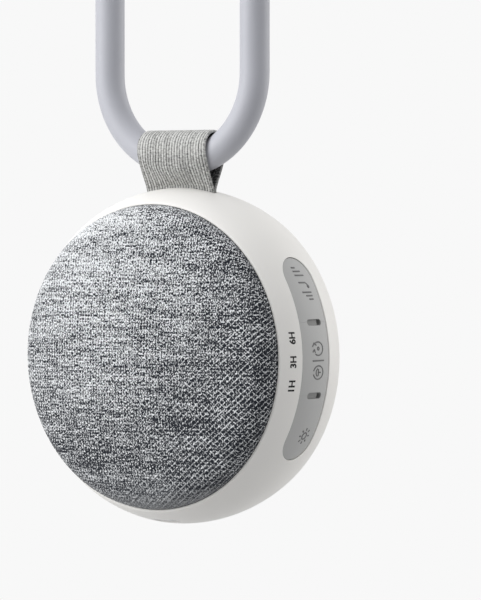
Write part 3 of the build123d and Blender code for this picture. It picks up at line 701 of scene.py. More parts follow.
class Workpiece:
    """One mesh on the bench, shaped by edit-mode operators."""

    def __init__(self, obj: bpy.types.Object, name: str) -> None:
        """Takes an object onto the bench.

        Args:
            obj: The object.
            name: Its new name.
        """
        self.obj = obj
        obj.name = name
        obj.data.name = name

    @classmethod
    def vertex(cls, name: str, place: Vector) -> "Workpiece":
        """A single vertex, to be drawn out into an outline.

        Args:
            name: Name of the piece.
            place: Where it stands.

        Returns:
            The workpiece.
        """
        deselect_all()
        bpy.ops.mesh.primitive_plane_add(size=MM, location=place)
        piece = cls(bpy.context.object, name)
        with piece.editing():
            bpy.ops.mesh.select_all(action="SELECT")
            bpy.ops.mesh.merge(type="CENTER")
        piece.settle()
        return piece

    @classmethod
    def disc(cls, name: str, radius: float, place: Vector, turn: Matrix, count: int,
             fill: str = "NGON") -> "Workpiece":
        """A flat disc or circle.

        Args:
            name: Name of the piece.
            radius: Its radius.
            place: Its centre.
            turn: Its turn from the XY plane.
            count: Points on the circle.
            fill: NGON for a disc, NOTHING for a circle.

        Returns:
            The workpiece.
        """
        deselect_all()
        bpy.ops.mesh.primitive_circle_add(vertices=count, radius=radius, fill_type=fill,
                                          location=place, rotation=turn.to_euler())
        piece = cls(bpy.context.object, name)
        piece.settle()
        return piece

    @classmethod
    def rod(cls, name: str, radius: float, start: Vector, end: Vector, count: int = 48) -> "Workpiece":
        """A round rod between two points.

        Args:
            name: Name of the piece.
            radius: Its radius.
            start: Middle of its first end.
            end: Middle of its other end.
            count: Points round it.

        Returns:
            The workpiece.
        """
        deselect_all()
        axis = end - start
        bpy.ops.mesh.primitive_cylinder_add(vertices=count, radius=radius, depth=axis.length,
                                            location=(start + end) / 2,
                                            rotation=axis.to_track_quat("Z", "Y").to_euler())
        piece = cls(bpy.context.object, name)
        piece.settle()
        return piece

    @classmethod
    def block(cls, name: str, low: Vector, high: Vector) -> "Workpiece":
        """A box between two corners.

        Args:
            name: Name of the piece.
            low: Its lowest corner.
            high: Its highest corner.

        Returns:
            The workpiece.
        """
        deselect_all()
        bpy.ops.mesh.primitive_cube_add(size=1, location=(low + high) / 2, scale=high - low)
        piece = cls(bpy.context.object, name)
        piece.settle()
        return piece

    def settle(self) -> None:
        """Moves the object's place, turn and scale into its mesh."""
        alone(self.obj)
        bpy.ops.object.transform_apply(location=True, rotation=True, scale=True)

    @contextmanager
    def editing(self) -> Iterator[None]:
        """Edit mode on this piece alone.

        Yields:
            Nothing: the mode lasts as long as the block.
        """
        alone(self.obj)
        bpy.ops.object.mode_set(mode="EDIT")
        bpy.ops.mesh.select_mode(type="VERT")
        yield
        bpy.ops.object.mode_set(mode="OBJECT")

    def select_points(self, test: Callable[[Vector], bool]) -> None:
        """Selects points.

        Args:
            test: Says by a point's place whether it is selected.
        """
        bpy.ops.mesh.select_mode(type="VERT")
        bpy.ops.mesh.select_all(action="DESELECT")
        mesh = bmesh.from_edit_mesh(self.obj.data)
        for point in mesh.verts:
            point.select = test(point.co)
        mesh.select_flush(True)
        bmesh.update_edit_mesh(self.obj.data)

    def select_faces(self, test: Callable[[Vector, Vector], bool]) -> None:
        """Selects faces.

        Args:
            test: Says by a face's middle and normal whether it is selected.
        """
        bpy.ops.mesh.select_mode(type="FACE")
        bpy.ops.mesh.select_all(action="DESELECT")
        mesh = bmesh.from_edit_mesh(self.obj.data)
        for face in mesh.faces:
            face.select_set(test(face.calc_center_median(), face.normal))
        bmesh.update_edit_mesh(self.obj.data)

    def draw(self, points: Sequence[Vector]) -> None:
        """Draws the selected vertex out along points, the first of which it stands on."""
        for here, there in zip(points, points[1:]):
            bpy.ops.mesh.extrude_vertices_move(TRANSFORM_OT_translate={"value": there - here})

    def pull(self, step: Vector) -> None:
        """Extrudes the selection by a step."""
        bpy.ops.mesh.extrude_region_move(TRANSFORM_OT_translate={"value": step})

    def pull_all(self, step: Vector) -> None:
        """Extrudes everything and turns the faces outwards.

        Args:
            step: The way it is pulled.
        """
        bpy.ops.mesh.select_all(action="SELECT")
        self.pull(step)
        self.face_outwards()

    def face_outwards(self) -> None:
        """Turns all faces outwards."""
        bpy.ops.mesh.select_all(action="SELECT")
        bpy.ops.mesh.normals_make_consistent(inside=False)

    def round_rim(self, rim: float, steps: int, hollow: bool) -> None:
        """Carries the selected face through a quarter round.

        Args:
            rim: Radius of the rounding.
            steps: Steps of the quarter circle.
            hollow: True for the mouth of a recess, False for the upper edge of a raised face.
        """
        for k in range(steps):
            here, there = (math.pi / 2 * share / steps for share in (k, k + 1))
            far = rim * (math.sin(there) - math.sin(here))
            near = rim * (math.cos(here) - math.cos(there))
            thickness, depth = (far, near) if hollow else (near, far)
            bpy.ops.mesh.inset(thickness=thickness, depth=depth)

    def tidy(self, gap: float = 1e-7) -> None:
        """Merges doubles, drops what has no area or face, and turns the faces outwards.

        Args:
            gap: Distance below which points are one.
        """
        with self.editing():
            bpy.ops.mesh.select_all(action="SELECT")
            bpy.ops.mesh.remove_doubles(threshold=gap)
            bpy.ops.mesh.dissolve_degenerate(threshold=gap)
            bpy.ops.mesh.delete_loose()
            self.face_outwards()

    def slice(self, place: Vector, normal: Vector, keep_above: bool | None = None) -> None:
        """Cuts the mesh by a plane.

        Args:
            place: A point of the plane.
            normal: The plane's normal.
            keep_above: None keeps both halves and only adds the cut's edges.  True keeps and closes
                the half that the normal points to, False the other.
        """
        bpy.ops.mesh.select_all(action="SELECT")
        drop_below, drop_above = keep_above is True, keep_above is False
        bpy.ops.mesh.bisect(plane_co=place, plane_no=normal, use_fill=keep_above is not None,
                            clear_inner=drop_below, clear_outer=drop_above, threshold=1e-8)

    def slice_rows(self, axis: int, low: float, high: float, pitch: float) -> None:
        """Adds evenly spaced cuts across one axis.

        Args:
            axis: 0, 1 or 2.
            low: Where the rows start.
            high: Where they end.
            pitch: Largest distance between rows.
        """
        count = max(1, math.ceil((high - low) / pitch))
        normal = Vector((0, 0, 0))
        normal[axis] = 1
        with self.editing():
            for k in range(1, count):
                self.slice(normal * (low + (high - low) * k / count), normal)

    def points(self) -> np.ndarray:
        """Reads the mesh.

        Returns:
            The places of all points, one row each.
        """
        flat = np.zeros(len(self.obj.data.vertices) * 3, np.float32)
        self.obj.data.vertices.foreach_get("co", flat)
        return flat.reshape(-1, 3).astype(float)

    def move_points(self, places: np.ndarray) -> None:
        """Puts all points at new places."""
        self.obj.data.vertices.foreach_set("co", places.astype(np.float32).ravel())
        self.obj.data.update()

    def modify(self, kind: str, **settings: object) -> None:
        """Adds a modifier and applies it.

        Args:
            kind: The modifier's type.
            settings: Its settings by name.
        """
        alone(self.obj)
        modifier = self.obj.modifiers.new(kind.title(), kind)
        for key, value in settings.items():
            setattr(modifier, key, value)
        bpy.ops.object.modifier_apply(modifier=modifier.name)

    def cut(self, tool: "Workpiece", operation: str = "DIFFERENCE") -> None:
        """Cuts a tool away, or joins it on, and removes the tool.

        Args:
            tool: The tool, whose own material marks what it leaves behind.
            operation: DIFFERENCE or UNION.
        """
        self.modify("BOOLEAN", object=tool.obj, operation=operation, solver="EXACT",
                    material_mode="TRANSFER" if tool.obj.data.materials else "INDEX")
        bpy.data.objects.remove(tool.obj)

    def join(self, others: Sequence["Workpiece"]) -> None:
        """Takes other meshes into this one.

        Args:
            others: The other pieces, which are gone afterwards.
        """
        alone(self.obj)
        for other in others:
            other.obj.select_set(True)
        bpy.ops.object.join()

    def copy(self, name: str) -> "Workpiece":
        """Copies the piece.

        Args:
            name: Name of the copy.

        Returns:
            The copy, with its own mesh.
        """
        twin = self.obj.copy()
        twin.data = self.obj.data.copy()
        bpy.context.scene.collection.objects.link(twin)
        return Workpiece(twin, name)

    def smooth(self, degrees: float = 35.0) -> None:
        """Shades the piece smooth across all but its sharp edges."""
        alone(self.obj)
        bpy.ops.object.shade_smooth_by_angle(angle=math.radians(degrees))

    def keep_flat_places(self, places: np.ndarray) -> None:
        """Stores each point's place on the flat cloth, for the weave."""
        attribute = self.obj.data.attributes.new("flat", "FLOAT_VECTOR", "POINT")
        attribute.data.foreach_set("vector", places.astype(np.float32).ravel())

    def hand_over(self, body: str | None, node: str | None = None, slot: str | None = None) -> None:
        """Enters the finished piece in the frame.

        Args:
            body: The body that it rides, or None where it bends between two.
            node: The node that it replaces, or None for an extra piece.
            slot: Not used.
        """
        if node:
            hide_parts(node)
        if body:
            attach(self.obj, body)
        LOG.info("%s: %d faces", self.obj.name, len(self.obj.data.polygons))


def arc_points(centre: Point, radius: float, start: float, end: float, count: int) -> list[Point]:
    """Points on an arc.

    Args:
        centre: Centre of the arc.
        radius: Its radius.
        start: Angle of the first point, in radians.
        end: Angle of the last.
        count: Number of steps.

    Returns:
        One point more than the steps.
    """
    turns = [start + (end - start) * k / count for k in range(count + 1)]
    return [(centre[0] + radius * math.cos(t), centre[1] + radius * math.sin(t)) for t in turns]


def rounded(start: Point, corner: Point, end: Point, count: int = 5) -> list[Point]:
    """Points of a rounding that leaves start and reaches end, along the sides that meet at corner."""
    shares = [k / count for k in range(count + 1)]
    return [tuple((1 - t) ** 2 * a + 2 * t * (1 - t) * b + t * t * c
                  for a, b, c in zip(start, corner, end)) for t in shares]


def turned(name: str, outline: Sequence[Point], steps: int, centre_z: float, closed: bool) -> Workpiece:
    """A piece turned about the machine's axis.

    Args:
        name: Name of the piece.
        outline: Points as (radius, y).
        steps: Steps round the axis.
        centre_z: Height of the axis.
        closed: True if the outline's end meets its start.

    Returns:
        The turned piece, closed and facing outwards.
    """
    points = [Vector((radius, y, centre_z)) for radius, y in outline]
    if closed:
        points.append(points[0])
    piece = Workpiece.vertex(name, points[0])
    with piece.editing():
        bpy.ops.mesh.select_all(action="SELECT")
        piece.draw(points)
        bpy.ops.mesh.select_all(action="SELECT")
        bpy.ops.mesh.remove_doubles(threshold=1e-7)
        bpy.ops.mesh.spin(steps=steps, angle=math.tau, center=(0, 0, centre_z), axis=(0, 1, 0))
    piece.tidy(1e-6)
    return piece


# ---- the machine's form
@dataclass(frozen=True)
class SideForm:
    """The housing's side: two arcs that meet at the widest circle.

    Attributes:
        centre: Centre of the widest circle.
        radius: Its radius.
        front_depth: Widest circle to the front lip.
        front_drop: How much smaller the lip is.
        rear_depth: Widest circle to the rear edge.
        rear_drop: How much smaller the rear edge is.
    """

    centre: Vector
    radius: float
    front_depth: float
    front_drop: float = 4.3 * MM
    rear_depth: float = 13.2 * MM
    rear_drop: float = 2.3 * MM

    def arc(self, y: float | np.ndarray) -> float | np.ndarray:
        """Radius of the side's own curve in front of or behind the widest circle.

        Args:
            y: Where along the axis.

        Returns:
            The curve's radius there.
        """
        front = (self.front_depth**2 + self.front_drop**2) / (2 * self.front_drop)
        rear = (self.rear_depth**2 + self.rear_drop**2) / (2 * self.rear_drop)
        return np.where(np.asarray(y) < 0, front, rear)

    def radius_at(self, y: float | np.ndarray, inset: float | np.ndarray = 0.0) -> np.ndarray:
        """Radius of the side at y, or of a surface that lies inset below it."""
        arc = self.arc(y)
        return self.radius - arc + np.sqrt((arc - inset) ** 2 - np.asarray(y) ** 2)

    def run(self, start: float, end: float, steps: int, inset: float = 0.0) -> list[Point]:
        """Outline points (radius, y) along the side from one y to another."""
        places = [start + (end - start) * k / steps for k in range(steps + 1)]
        return [(float(self.radius_at(y, inset)), y) for y in places]

    def wrap(self, piece: Workpiece, side: Side) -> None:
        """Lays a flat piece on the side: its x becomes height above the surface.

        Args:
            piece: A piece whose y and z are in place, and whose x is its height above the side.
            side: The side it goes on.
        """
        flat = piece.points()
        height, y, z = flat[:, 0], flat[:, 1], flat[:, 2]
        reach = self.radius_at(y, -height) ** 2 - (z - self.centre.z) ** 2
        places = np.column_stack((side.value * np.sqrt(reach), y, z))
        piece.move_points(places)


def machine_form() -> SideForm:
    """Reads the housing's place and size from the frame.

    Returns:
        The side's form.
    """
    low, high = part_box("housing")
    radius = 50.0 * MM
    return SideForm(Vector((0, 0, low.z + radius)), radius, -low.y, rear_depth=high.y)


# ---- flat pills
@dataclass(frozen=True)
class Pill:
    """A pill-shaped outline on the machine's side.

    Attributes:
        y: Middle along Y.
        z: Middle along Z.
        half_y: Half of its size along Y.
        half_z: Half of its size along Z.
        count: Points round the outline, 4n + 2 so that none lies on the long sides' middle.
    """

    y: float
    z: float
    half_y: float
    half_z: float
    count: int = 66

    def face(self, name: str, height: float) -> Workpiece:
        """A flat face of this outline at a height above the side.

        Args:
            name: Name of the piece.
            height: Height above the side.

        Returns:
            The face, whose normal points away from the machine.
        """
        radius = min(self.half_y, self.half_z)
        piece = Workpiece.disc(name, radius, Vector((height, self.y, self.z)), ON_RIGHT_SIDE, self.count)
        axis = 2 if self.half_z > self.half_y else 1
        middle = (self.y, self.z)[axis - 1]
        spread = abs(self.half_z - self.half_y)
        with piece.editing():
            for sign in (1, -1):
                piece.select_points(lambda co, s=sign: s * (co[axis] - middle) > 1e-6)
                step = Vector((0, 0, 0))
                step[axis] = sign * spread
                bpy.ops.transform.translate(value=step)
        return piece

    def grown(self, by: float) -> "Pill":
        """This pill with its outline moved out."""
        return Pill(self.y, self.z, self.half_y + by, self.half_z + by, self.count)

    def slice_for_bending(self, piece: Workpiece, pitch: float) -> None:
        """Adds rows so that a flat piece of this outline can follow the side's curve."""
        piece.slice_rows(2, self.z - self.half_z, self.z + self.half_z, pitch)
        piece.slice_rows(1, self.y - self.half_y, self.y + self.half_y, pitch)

    def bent_tool(self, name: str, depth: float, rim: float, form: SideForm, side: Side,
                  pitch: float) -> Workpiece:
        """A tool that cuts this pill with a rounded rim, bent to the side's curve.

        Args:
            name: Name of the tool.
            depth: Depth of the cut below the side.
            rim: Radius of the rounded rim.
            form: The side's form.
            side: The side it cuts.
            pitch: Largest distance between the rows it bends at.

        Returns:
            The tool.
        """
        tool = self.recess_tool(name, depth, rim)
        self.grown(rim).slice_for_bending(tool, pitch)
        form.wrap(tool, side)
        return tool

    def recess_tool(self, name: str, depth: float, rim: float) -> Workpiece:
        """A flat tool that cuts this pill with a rounded rim.

        Args:
            name: Name of the tool.
            depth: Depth of the cut below the side.
            rim: Radius of the rounded rim.

        Returns:
            The tool, still flat.
        """
        tool = self.grown(rim).face(name, 0.0)
        with tool.editing():
            tool.pull_all(Vector((OVERSHOOT, 0, 0)))
            tool.select_faces(lambda middle, normal: normal.x < -0.9)
            tool.round_rim(rim, 4, hollow=True)
            tool.pull(Vector((rim - depth, 0, 0)))
        tool.tidy()
        return tool


# ---- sub-assemblies
@dataclass
class SubAssembly:
    """What every sub-assembly is built from.  All sizes in metres.

    Attributes:
        form: The side's form.
        paint: The materials.
    """

    form: SideForm
    paint: PaintBox


@dataclass
class Housing(SubAssembly):
    """White side band with its lip, key pockets, strap slot and inlet.

    Attributes:
        front_ledge_depth: Depth of the grille's ledge behind the lip.
        rear_ledge_depth: Depth of the bezel's ledge.
        strip: The key strips' pocket.
        strap_slot_half: Half of the slot's size from front to rear.
        inlet_half: Half of the mouth's width and height.
        letters: The timer's hours: text, height above the machine's centre, and width.
        letter_bold: How far the font's outline is moved out, in letter heights.
        letter_swell: How far the letters are then fattened, in letter heights.
        letter_slab: Thickness of the letters before they are pressed flat, in letter heights.
        letter_pitch: Largest distance between the rows a letter bends at.
        ink_rise: Height of the print's middle above the side.
    """

    wall: float = 2.2 * MM
    lip_width: float = 0.7 * MM
    lip_rounding: float = 0.15 * MM
    front_ledge_depth: float = 1.5 * MM
    front_ledge_width: float = 2.2 * MM
    ledge_thickness: float = 1.2 * MM
    rear_edge_width: float = 0.55 * MM
    rear_rounding: float = 0.2 * MM
    rear_ledge_depth: float = 2.6 * MM
    rear_ledge_width: float = 3.2 * MM
    strip: Pill = field(init=False)
    pocket_depth: float = 3.4 * MM
    pocket_rim: float = 0.22 * MM
    strap_half_width: float = 12.65 * MM
    strap_slot_half: float = 1.2 * MM
    strap_slot_depth: float = 6.0 * MM
    inlet_y: float = -7.6 * MM
    inlet_half: Point = (4.65 * MM, 1.75 * MM)
    inlet_depth: float = 4.0 * MM
    inlet_rim: float = 0.2 * MM
    steps: int = 360
    letters: tuple[tuple[str, float, float], ...] = (
        ("6H", 6.45 * MM, 3.5 * MM), ("3H", -0.45 * MM, 3.45 * MM), ("1H", -7.35 * MM, 3.2 * MM))
    letter_height: float = 1.95 * MM
    letter_baseline: float = -10.1 * MM
    letter_bold: float = 0.022
    letter_swell: float = 0.02
    letter_slab: float = 0.01
    letter_pitch: float = 0.45 * MM
    ink_thickness: float = 0.03 * MM
    ink_rise: float = 0.01 * MM

    def __post_init__(self) -> None:
        """Places the key strip's pocket."""
        self.strip = Pill(-1.55 * MM, self.form.centre.z, 6.35 * MM, 29.6 * MM, 98)

    def outline(self) -> list[Point]:
        """The wall's section, from the front lip round the outside and back inside.

        Returns:
            Points as (radius, y).
        """
        form = self.form
        front, rear = -form.front_depth, form.rear_depth
        lip_outer = float(form.radius_at(front))
        lip_inner = lip_outer - self.lip_width
        soft = self.lip_rounding
        side_start, side_end = front + soft, rear - self.rear_rounding
        edge_outer = float(form.radius_at(rear))
        edge_inner = edge_outer - self.rear_edge_width
        rear_soft = self.rear_rounding
        ledge, rear_ledge = front + self.front_ledge_depth, rear - self.rear_ledge_depth
        points = rounded((lip_outer - soft, front), (lip_outer, front),
                         (float(form.radius_at(side_start)), side_start))[:-1]
        points += form.run(side_start, 0.0, 18)[:-1] + form.run(0.0, side_end, 16)[:-1]
        points += rounded((float(form.radius_at(side_end)), side_end), (edge_outer, rear),
                          (edge_outer - rear_soft, rear))
        points += rounded((edge_inner + rear_soft, rear), (edge_inner, rear),
                          (edge_inner, rear - rear_soft))
        points += [(edge_inner, rear_ledge), (edge_inner - self.rear_ledge_width, rear_ledge),
                   (edge_inner - self.rear_ledge_width, rear_ledge - self.ledge_thickness)]
        points += form.run(rear_ledge - self.ledge_thickness, 0.0, 8, self.wall)[:-1]
        points += form.run(0.0, ledge + self.ledge_thickness, 8, self.wall)
        ledge_radius = lip_inner - self.front_ledge_width
        points += [(ledge_radius, ledge + self.ledge_thickness), (ledge_radius, ledge), (lip_inner, ledge)]
        return points + rounded((lip_inner, front + soft), (lip_inner, front), (lip_inner + soft, front))

    def build(self) -> None:
        """Models the housing and prints the timer marks on it."""
        form = self.form
        shell = turned("housing_shell", self.outline(), self.steps, form.centre.z, closed=True)
        for side in Side:
            tool = self.strip.bent_tool(f"pocket_{side.name.lower()}", self.pocket_depth, self.pocket_rim,
                                        form, side, 1.5 * MM)
            tool.tidy()
            shell.cut(tool)
        top = form.centre.z + form.radius
        slot_low = Vector((-self.strap_half_width, -self.strap_slot_half, top - self.strap_slot_depth))
        slot_high = Vector((self.strap_half_width, self.strap_slot_half, top + OVERSHOOT))
        shell.cut(Workpiece.block("strap_slot", slot_low, slot_high))
        shell.cut(self.inlet_tool())
        shell.tidy(1e-6)
        shell.smooth(32)
        self.paint.give(shell.obj, HOUSING_FINISH)
        shell.hand_over("device", "housing", "white_plastic")
        self.print_marks()

    def inlet_tool(self) -> Workpiece:
        """The tool that cuts the charging inlet's mouth.

        Returns:
            The tool, shaped on the right side and brought round to the bottom.
        """
        form = self.form
        mouth = Pill(self.inlet_y, form.centre.z, self.inlet_half[1], self.inlet_half[0], 34)
        tool = mouth.bent_tool("inlet_mouth", self.inlet_depth, self.inlet_rim, form, Side.RIGHT, 1.0 * MM)
        turn = Matrix.Rotation(math.pi / 2, 4, "Y")
        about = Matrix.Translation(form.centre) @ turn @ Matrix.Translation(-form.centre)
        tool.obj.data.transform(about)
        tool.tidy()
        return tool

    def letter_mark(self, text: str, height: float, width: float) -> Workpiece:
        """One of the timer's hours.

        Args:
            text: What it says.
            height: Height of its middle above the machine's centre.
            width: Its width.

        Returns:
            The lettering, still flat, beside the right key strip and ready to be bent.
        """
        deselect_all()
        bpy.ops.object.text_add()
        words = bpy.context.object.data
        words.body = text
        words.align_x = "CENTER"
        words.offset = self.letter_bold
        words.extrude = self.letter_slab
        bpy.ops.object.convert(target="MESH")
        mark = Workpiece(bpy.context.object, f"mark_{text}")
        with mark.editing():
            bpy.ops.mesh.select_all(action="SELECT")
            bpy.ops.mesh.remove_doubles(threshold=1e-4)
            bpy.ops.mesh.dissolve_degenerate(threshold=1e-4)
            mark.face_outwards()
            bpy.ops.transform.shrink_fatten(value=self.letter_swell)
        flat = mark.points()
        low, high = flat.min(0), flat.max(0)
        size = np.array((width, self.letter_height, self.ink_thickness))
        middle = (self.ink_rise, self.letter_baseline - self.letter_height / 2, self.form.centre.z + height)
        flat = (flat - (low + high) / 2) / (high - low) * size
        placed = flat @ np.array(READING_UP).T + np.array(middle)
        mark.move_points(placed)
        for axis in (2, 1):
            mark.slice_rows(axis, placed[:, axis].min(), placed[:, axis].max(), self.letter_pitch)
        return mark

    def print_marks(self) -> None:
        """Prints the timer's hours beside the right key strip."""
        marks = [self.letter_mark(*letters) for letters in self.letters]
        marks[0].join(marks[1:])
        print_all = Workpiece(marks[0].obj, "timer_marks")
        self.form.wrap(print_all, Side.RIGHT)
        self.paint.give(print_all.obj, INK_FINISH)
        print_all.hand_over("device")


@dataclass(frozen=True)
class Stroke:
    """One line of a key's icon.

    Attributes:
        points: Its points in millimetres from the icon's middle, right and up as one faces it.
    """

    points: tuple[Point, ...]

    def resampled(self, pitch: float) -> list[Point]:
        """Adds points along the line.

        Args:
            pitch: Largest distance between two points.

        Returns:
            The stroke's points with the others between them.
        """
        fine = [self.points[0]]
        for here, there in zip(self.points, self.points[1:]):
            count = max(1, math.ceil(math.dist(here, there) / pitch))
            fine += [tuple(a + (b - a) * k / count for a, b in zip(here, there))
                     for k in range(1, count + 1)]
        return fine


def ring_stroke(radius: float, start: float, end: float, centre: Point = (0.0, 0.0),
                wide: float = 1.0) -> Stroke:
    """A stroke along an arc between two angles in degrees, widened by a factor."""
    points = arc_points((0.0, 0.0), radius, math.radians(start), math.radians(end), 24)
    return Stroke(tuple((centre[0] + x * wide, centre[1] + y) for x, y in points))


class Icon(Enum):
    """The raised signs on the keys."""

    SOUND = "sound"
    LOOP = "loop"
    TIMER = "timer"
    BAR = "bar"
    LIGHT = "light"
    QUIETER = "quieter"
    LOUDER = "louder"
    POWER = "power"

    def strokes(self) -> list[Stroke]:
        """Draws this sign.

        Returns:
            Its lines.
        """
        if self is Icon.SOUND:
            low = [Stroke(((2.4 - length, z), (2.4, z)))
                   for length, z in ((2.0, -4.4), (3.0, -3.4), (4.2, -2.4))]
            high = [Stroke(((-2.2, z), (length - 2.2, z)))
                    for length, z in ((4.0, 2.5), (3.1, 3.65), (1.5, 4.7))]
            note = Stroke(((-1.9, 0.4), (1.0, 0.4), (1.5, 0.1), (2.0, -0.6), (2.2, -1.0)))
            return [*low, note, ring_stroke(0.35, 0, 360, (1.9, -0.7)), *high]
        if self is Icon.LOOP:
            head = Stroke(((-2.6, 0.6), (-1.9, 1.7), (-0.9, 1.0)))
            tail = Stroke(((-2.6, -1.0), (-1.9, -0.2), (-1.5, -1.2)))
            return [ring_stroke(1.95, 142, -128, wide=1.15), head, tail, ring_stroke(0.4, 0, 360)]
        if self is Icon.TIMER:
            hands = [Stroke(((0.0, 1.0), (0.0, -1.0))), Stroke(((0.0, 0.0), (1.2, 0.0)))]
            return [ring_stroke(1.95, 165, -165, wide=1.2), *hands, ring_stroke(1.1, 110, 250)]
        if self is Icon.BAR:
            return [Stroke(((-2.7, 0.0), (2.7, 0.0)))]
        if self is Icon.LIGHT:
            rays = [Stroke(((1.6 * math.cos(a), 1.6 * math.sin(a)), (2.3 * math.cos(a), 2.3 * math.sin(a))))
                    for a in (math.tau * k / 8 for k in range(8))]
            return [ring_stroke(0.95, 0, 360), *rays]
        if self is Icon.POWER:
            return [ring_stroke(1.9, 125, 415), Stroke(((0.0, 2.3), (0.0, 0.4)))]
        speaker = Stroke(((-1.1, -1.9), (0.2, -1.9), (1.6, -0.7), (1.6, 1.5), (0.2, 0.3), (-1.1, 0.3),
                          (-1.1, -1.9)))
        waves = 1 if self is Icon.QUIETER else 3
        arcs = [ring_stroke(1.1 + 0.75 * k, 55, 125, (0.3, 1.0)) for k in range(waves)]
        return [speaker, *arcs]


@dataclass
class KeyStrip(SubAssembly):
    """Three silicone keys let into one side, with their raised signs.

    Attributes:
        side: The side it is on.
        pocket: The housing's pocket.
        names: The keys from the top down.
        icons: The signs: key, sign, y, and height above the machine's centre.
        recess: Depth of the keys' face below the side.
        flange: Width of the flange that holds the strip from inside.
        splits: Heights above the machine's centre at which the strip is parted into keys.
        mark_half: Half of the slot's height and width at each split.
        window_y: Where the slot's deeper half starts.
        window_depth: How much deeper it is.
        bend_pitch: Largest distance between the rows the strip bends at.
        line: Half of the width of a sign's line.
        line_pitch: Largest distance between two points of a line, in millimetres.
    """

    side: Side
    pocket: Pill
    names: tuple[str, str, str]
    icons: tuple[tuple[str, Icon, float, float], ...]
    recess: float = 0.25 * MM
    gap: float = 0.12 * MM
    rim: float = 0.2 * MM
    flange: float = 1.0 * MM
    flange_top: float = 2.25 * MM
    flange_bottom: float = 3.05 * MM
    splits: Point = (10.9 * MM, -10.4 * MM)
    split_gap: float = 0.03 * MM
    mark_half: Point = (3.2 * MM, 0.86 * MM)
    mark_drop: float = 0.12 * MM
    mark_y: float = -1.4 * MM
    mark_depth: float = 0.62 * MM
    mark_rim: float = 0.1 * MM
    window_y: float = 0.5 * MM
    window_depth: float = 1.2 * MM
    bend_pitch: float = 1.2 * MM
    line: float = 0.22 * MM
    line_rise: float = 0.13 * MM
    line_pitch: float = 0.35

    def flat_strip(self) -> Workpiece:
        """Models the whole strip before it is bent and parted.

        Returns:
            Flange, side, rounded rim and face in one flat piece.
        """
        strip = self.pocket.grown(self.flange).face("key_strip", -self.flange_bottom)
        with strip.editing():
            strip.pull_all(Vector((self.flange_bottom - self.flange_top, 0, 0)))
            strip.select_faces(lambda middle, normal: normal.x > 0.9)
            bpy.ops.mesh.inset(thickness=self.flange + self.gap, depth=0)
            strip.pull(Vector((self.flange_top - self.recess - self.rim, 0, 0)))
            strip.round_rim(self.rim, 5, hollow=False)
        strip.tidy()
        return strip

    def mark_tool(self, split: float) -> Workpiece:
        """The tool that cuts the slot at a split, deeper in the half towards the rear.

        Args:
            split: The split's height above the machine's centre.

        Returns:
            The tool, still flat.
        """
        mark = Pill(self.mark_y, self.form.centre.z + split - self.mark_drop, *self.mark_half, 34)
        tool = mark.recess_tool("mark_tool", self.mark_depth, self.mark_rim)
        tool.obj.data.transform(Matrix.Translation((-self.recess, 0, 0)))
        above_floor = 1e-5 - self.recess - self.mark_depth
        with tool.editing():
            tool.slice(Vector((0, self.window_y, 0)), Vector((0, 1, 0)))
            tool.select_faces(lambda middle, normal: middle.x < above_floor and middle.y > self.window_y)
            tool.pull(Vector((-self.window_depth, 0, 0)))
        tool.tidy()
        # The slot's faces take on this darker silicone: painted shade in the recess.
        self.paint.give(tool.obj, SHADE_FINISH)
        return tool

    def build(self) -> None:
        """Models the strip, parts it into its keys and raises the signs."""
        strip = self.flat_strip()
        self.paint.give(strip.obj, KEY_FINISH)
        for split in self.splits:
            strip.cut(self.mark_tool(split))
        self.pocket.grown(self.flange).slice_for_bending(strip, self.bend_pitch)
        past_the_end = self.pocket.half_z * 2
        bounds = (past_the_end, *self.splits, -past_the_end)
        up, centre = Vector((0, 0, 1)), self.form.centre.z
        for name, high, low in zip(self.names, bounds, bounds[1:]):
            key = strip.copy(f"{name}_cap")
            with key.editing():
                key.slice(Vector((0, 0, centre + low + self.split_gap / 2)), up, keep_above=True)
                key.slice(Vector((0, 0, centre + high - self.split_gap / 2)), up, keep_above=False)
            self.form.wrap(key, self.side)
            key.tidy()
            key.smooth(30)
            key.hand_over(f"{name}_body", name, "key_rubber")
        bpy.data.objects.remove(strip.obj)
        for name in self.names:
            self.raise_signs(name, [sign[1:] for sign in self.icons if sign[0] == name])

    def raise_signs(self, name: str, icons: Sequence[tuple[Icon, float, float]]) -> None:
        """Raises one key's signs.

        Args:
            name: The key.
            icons: Its signs, their y and their heights above the machine's centre.
        """
        curve = bpy.data.curves.new(f"{name}_sign", "CURVE")
        curve.dimensions = "3D"
        curve.bevel_depth = self.line
        curve.bevel_resolution = 2
        curve.use_fill_caps = True
        for icon, middle, height in icons:
            for stroke in icon.strokes():
                fine = stroke.resampled(self.line_pitch)
                spline = curve.splines.new("POLY")
                spline.use_cyclic_u = math.dist(fine[0], fine[-1]) < 1e-6
                if spline.use_cyclic_u:
                    fine.pop()
                spline.points.add(len(fine) - 1)
                for point, (right, up) in zip(spline.points, fine):
                    y = middle + self.side.value * right * MM
                    point.co = (0, y, self.form.centre.z + height + up * MM, 1)
        deselect_all()
        obj = bpy.data.objects.new(f"{name}_sign", curve)
        bpy.context.scene.collection.objects.link(obj)
        alone(obj)
        bpy.ops.object.convert(target="MESH")
        sign = Workpiece(bpy.context.object, f"{name}_sign")
        flat = sign.points()
        flat[:, 0] = flat[:, 0] / self.line * self.line_rise - self.recess
        sign.move_points(flat)
        self.form.wrap(sign, self.side)
        sign.tidy()
        sign.smooth(60)
        self.paint.give(sign.obj, ICON_FINISH)
        sign.hand_over(f"{name}_body", slot="key_rubber")


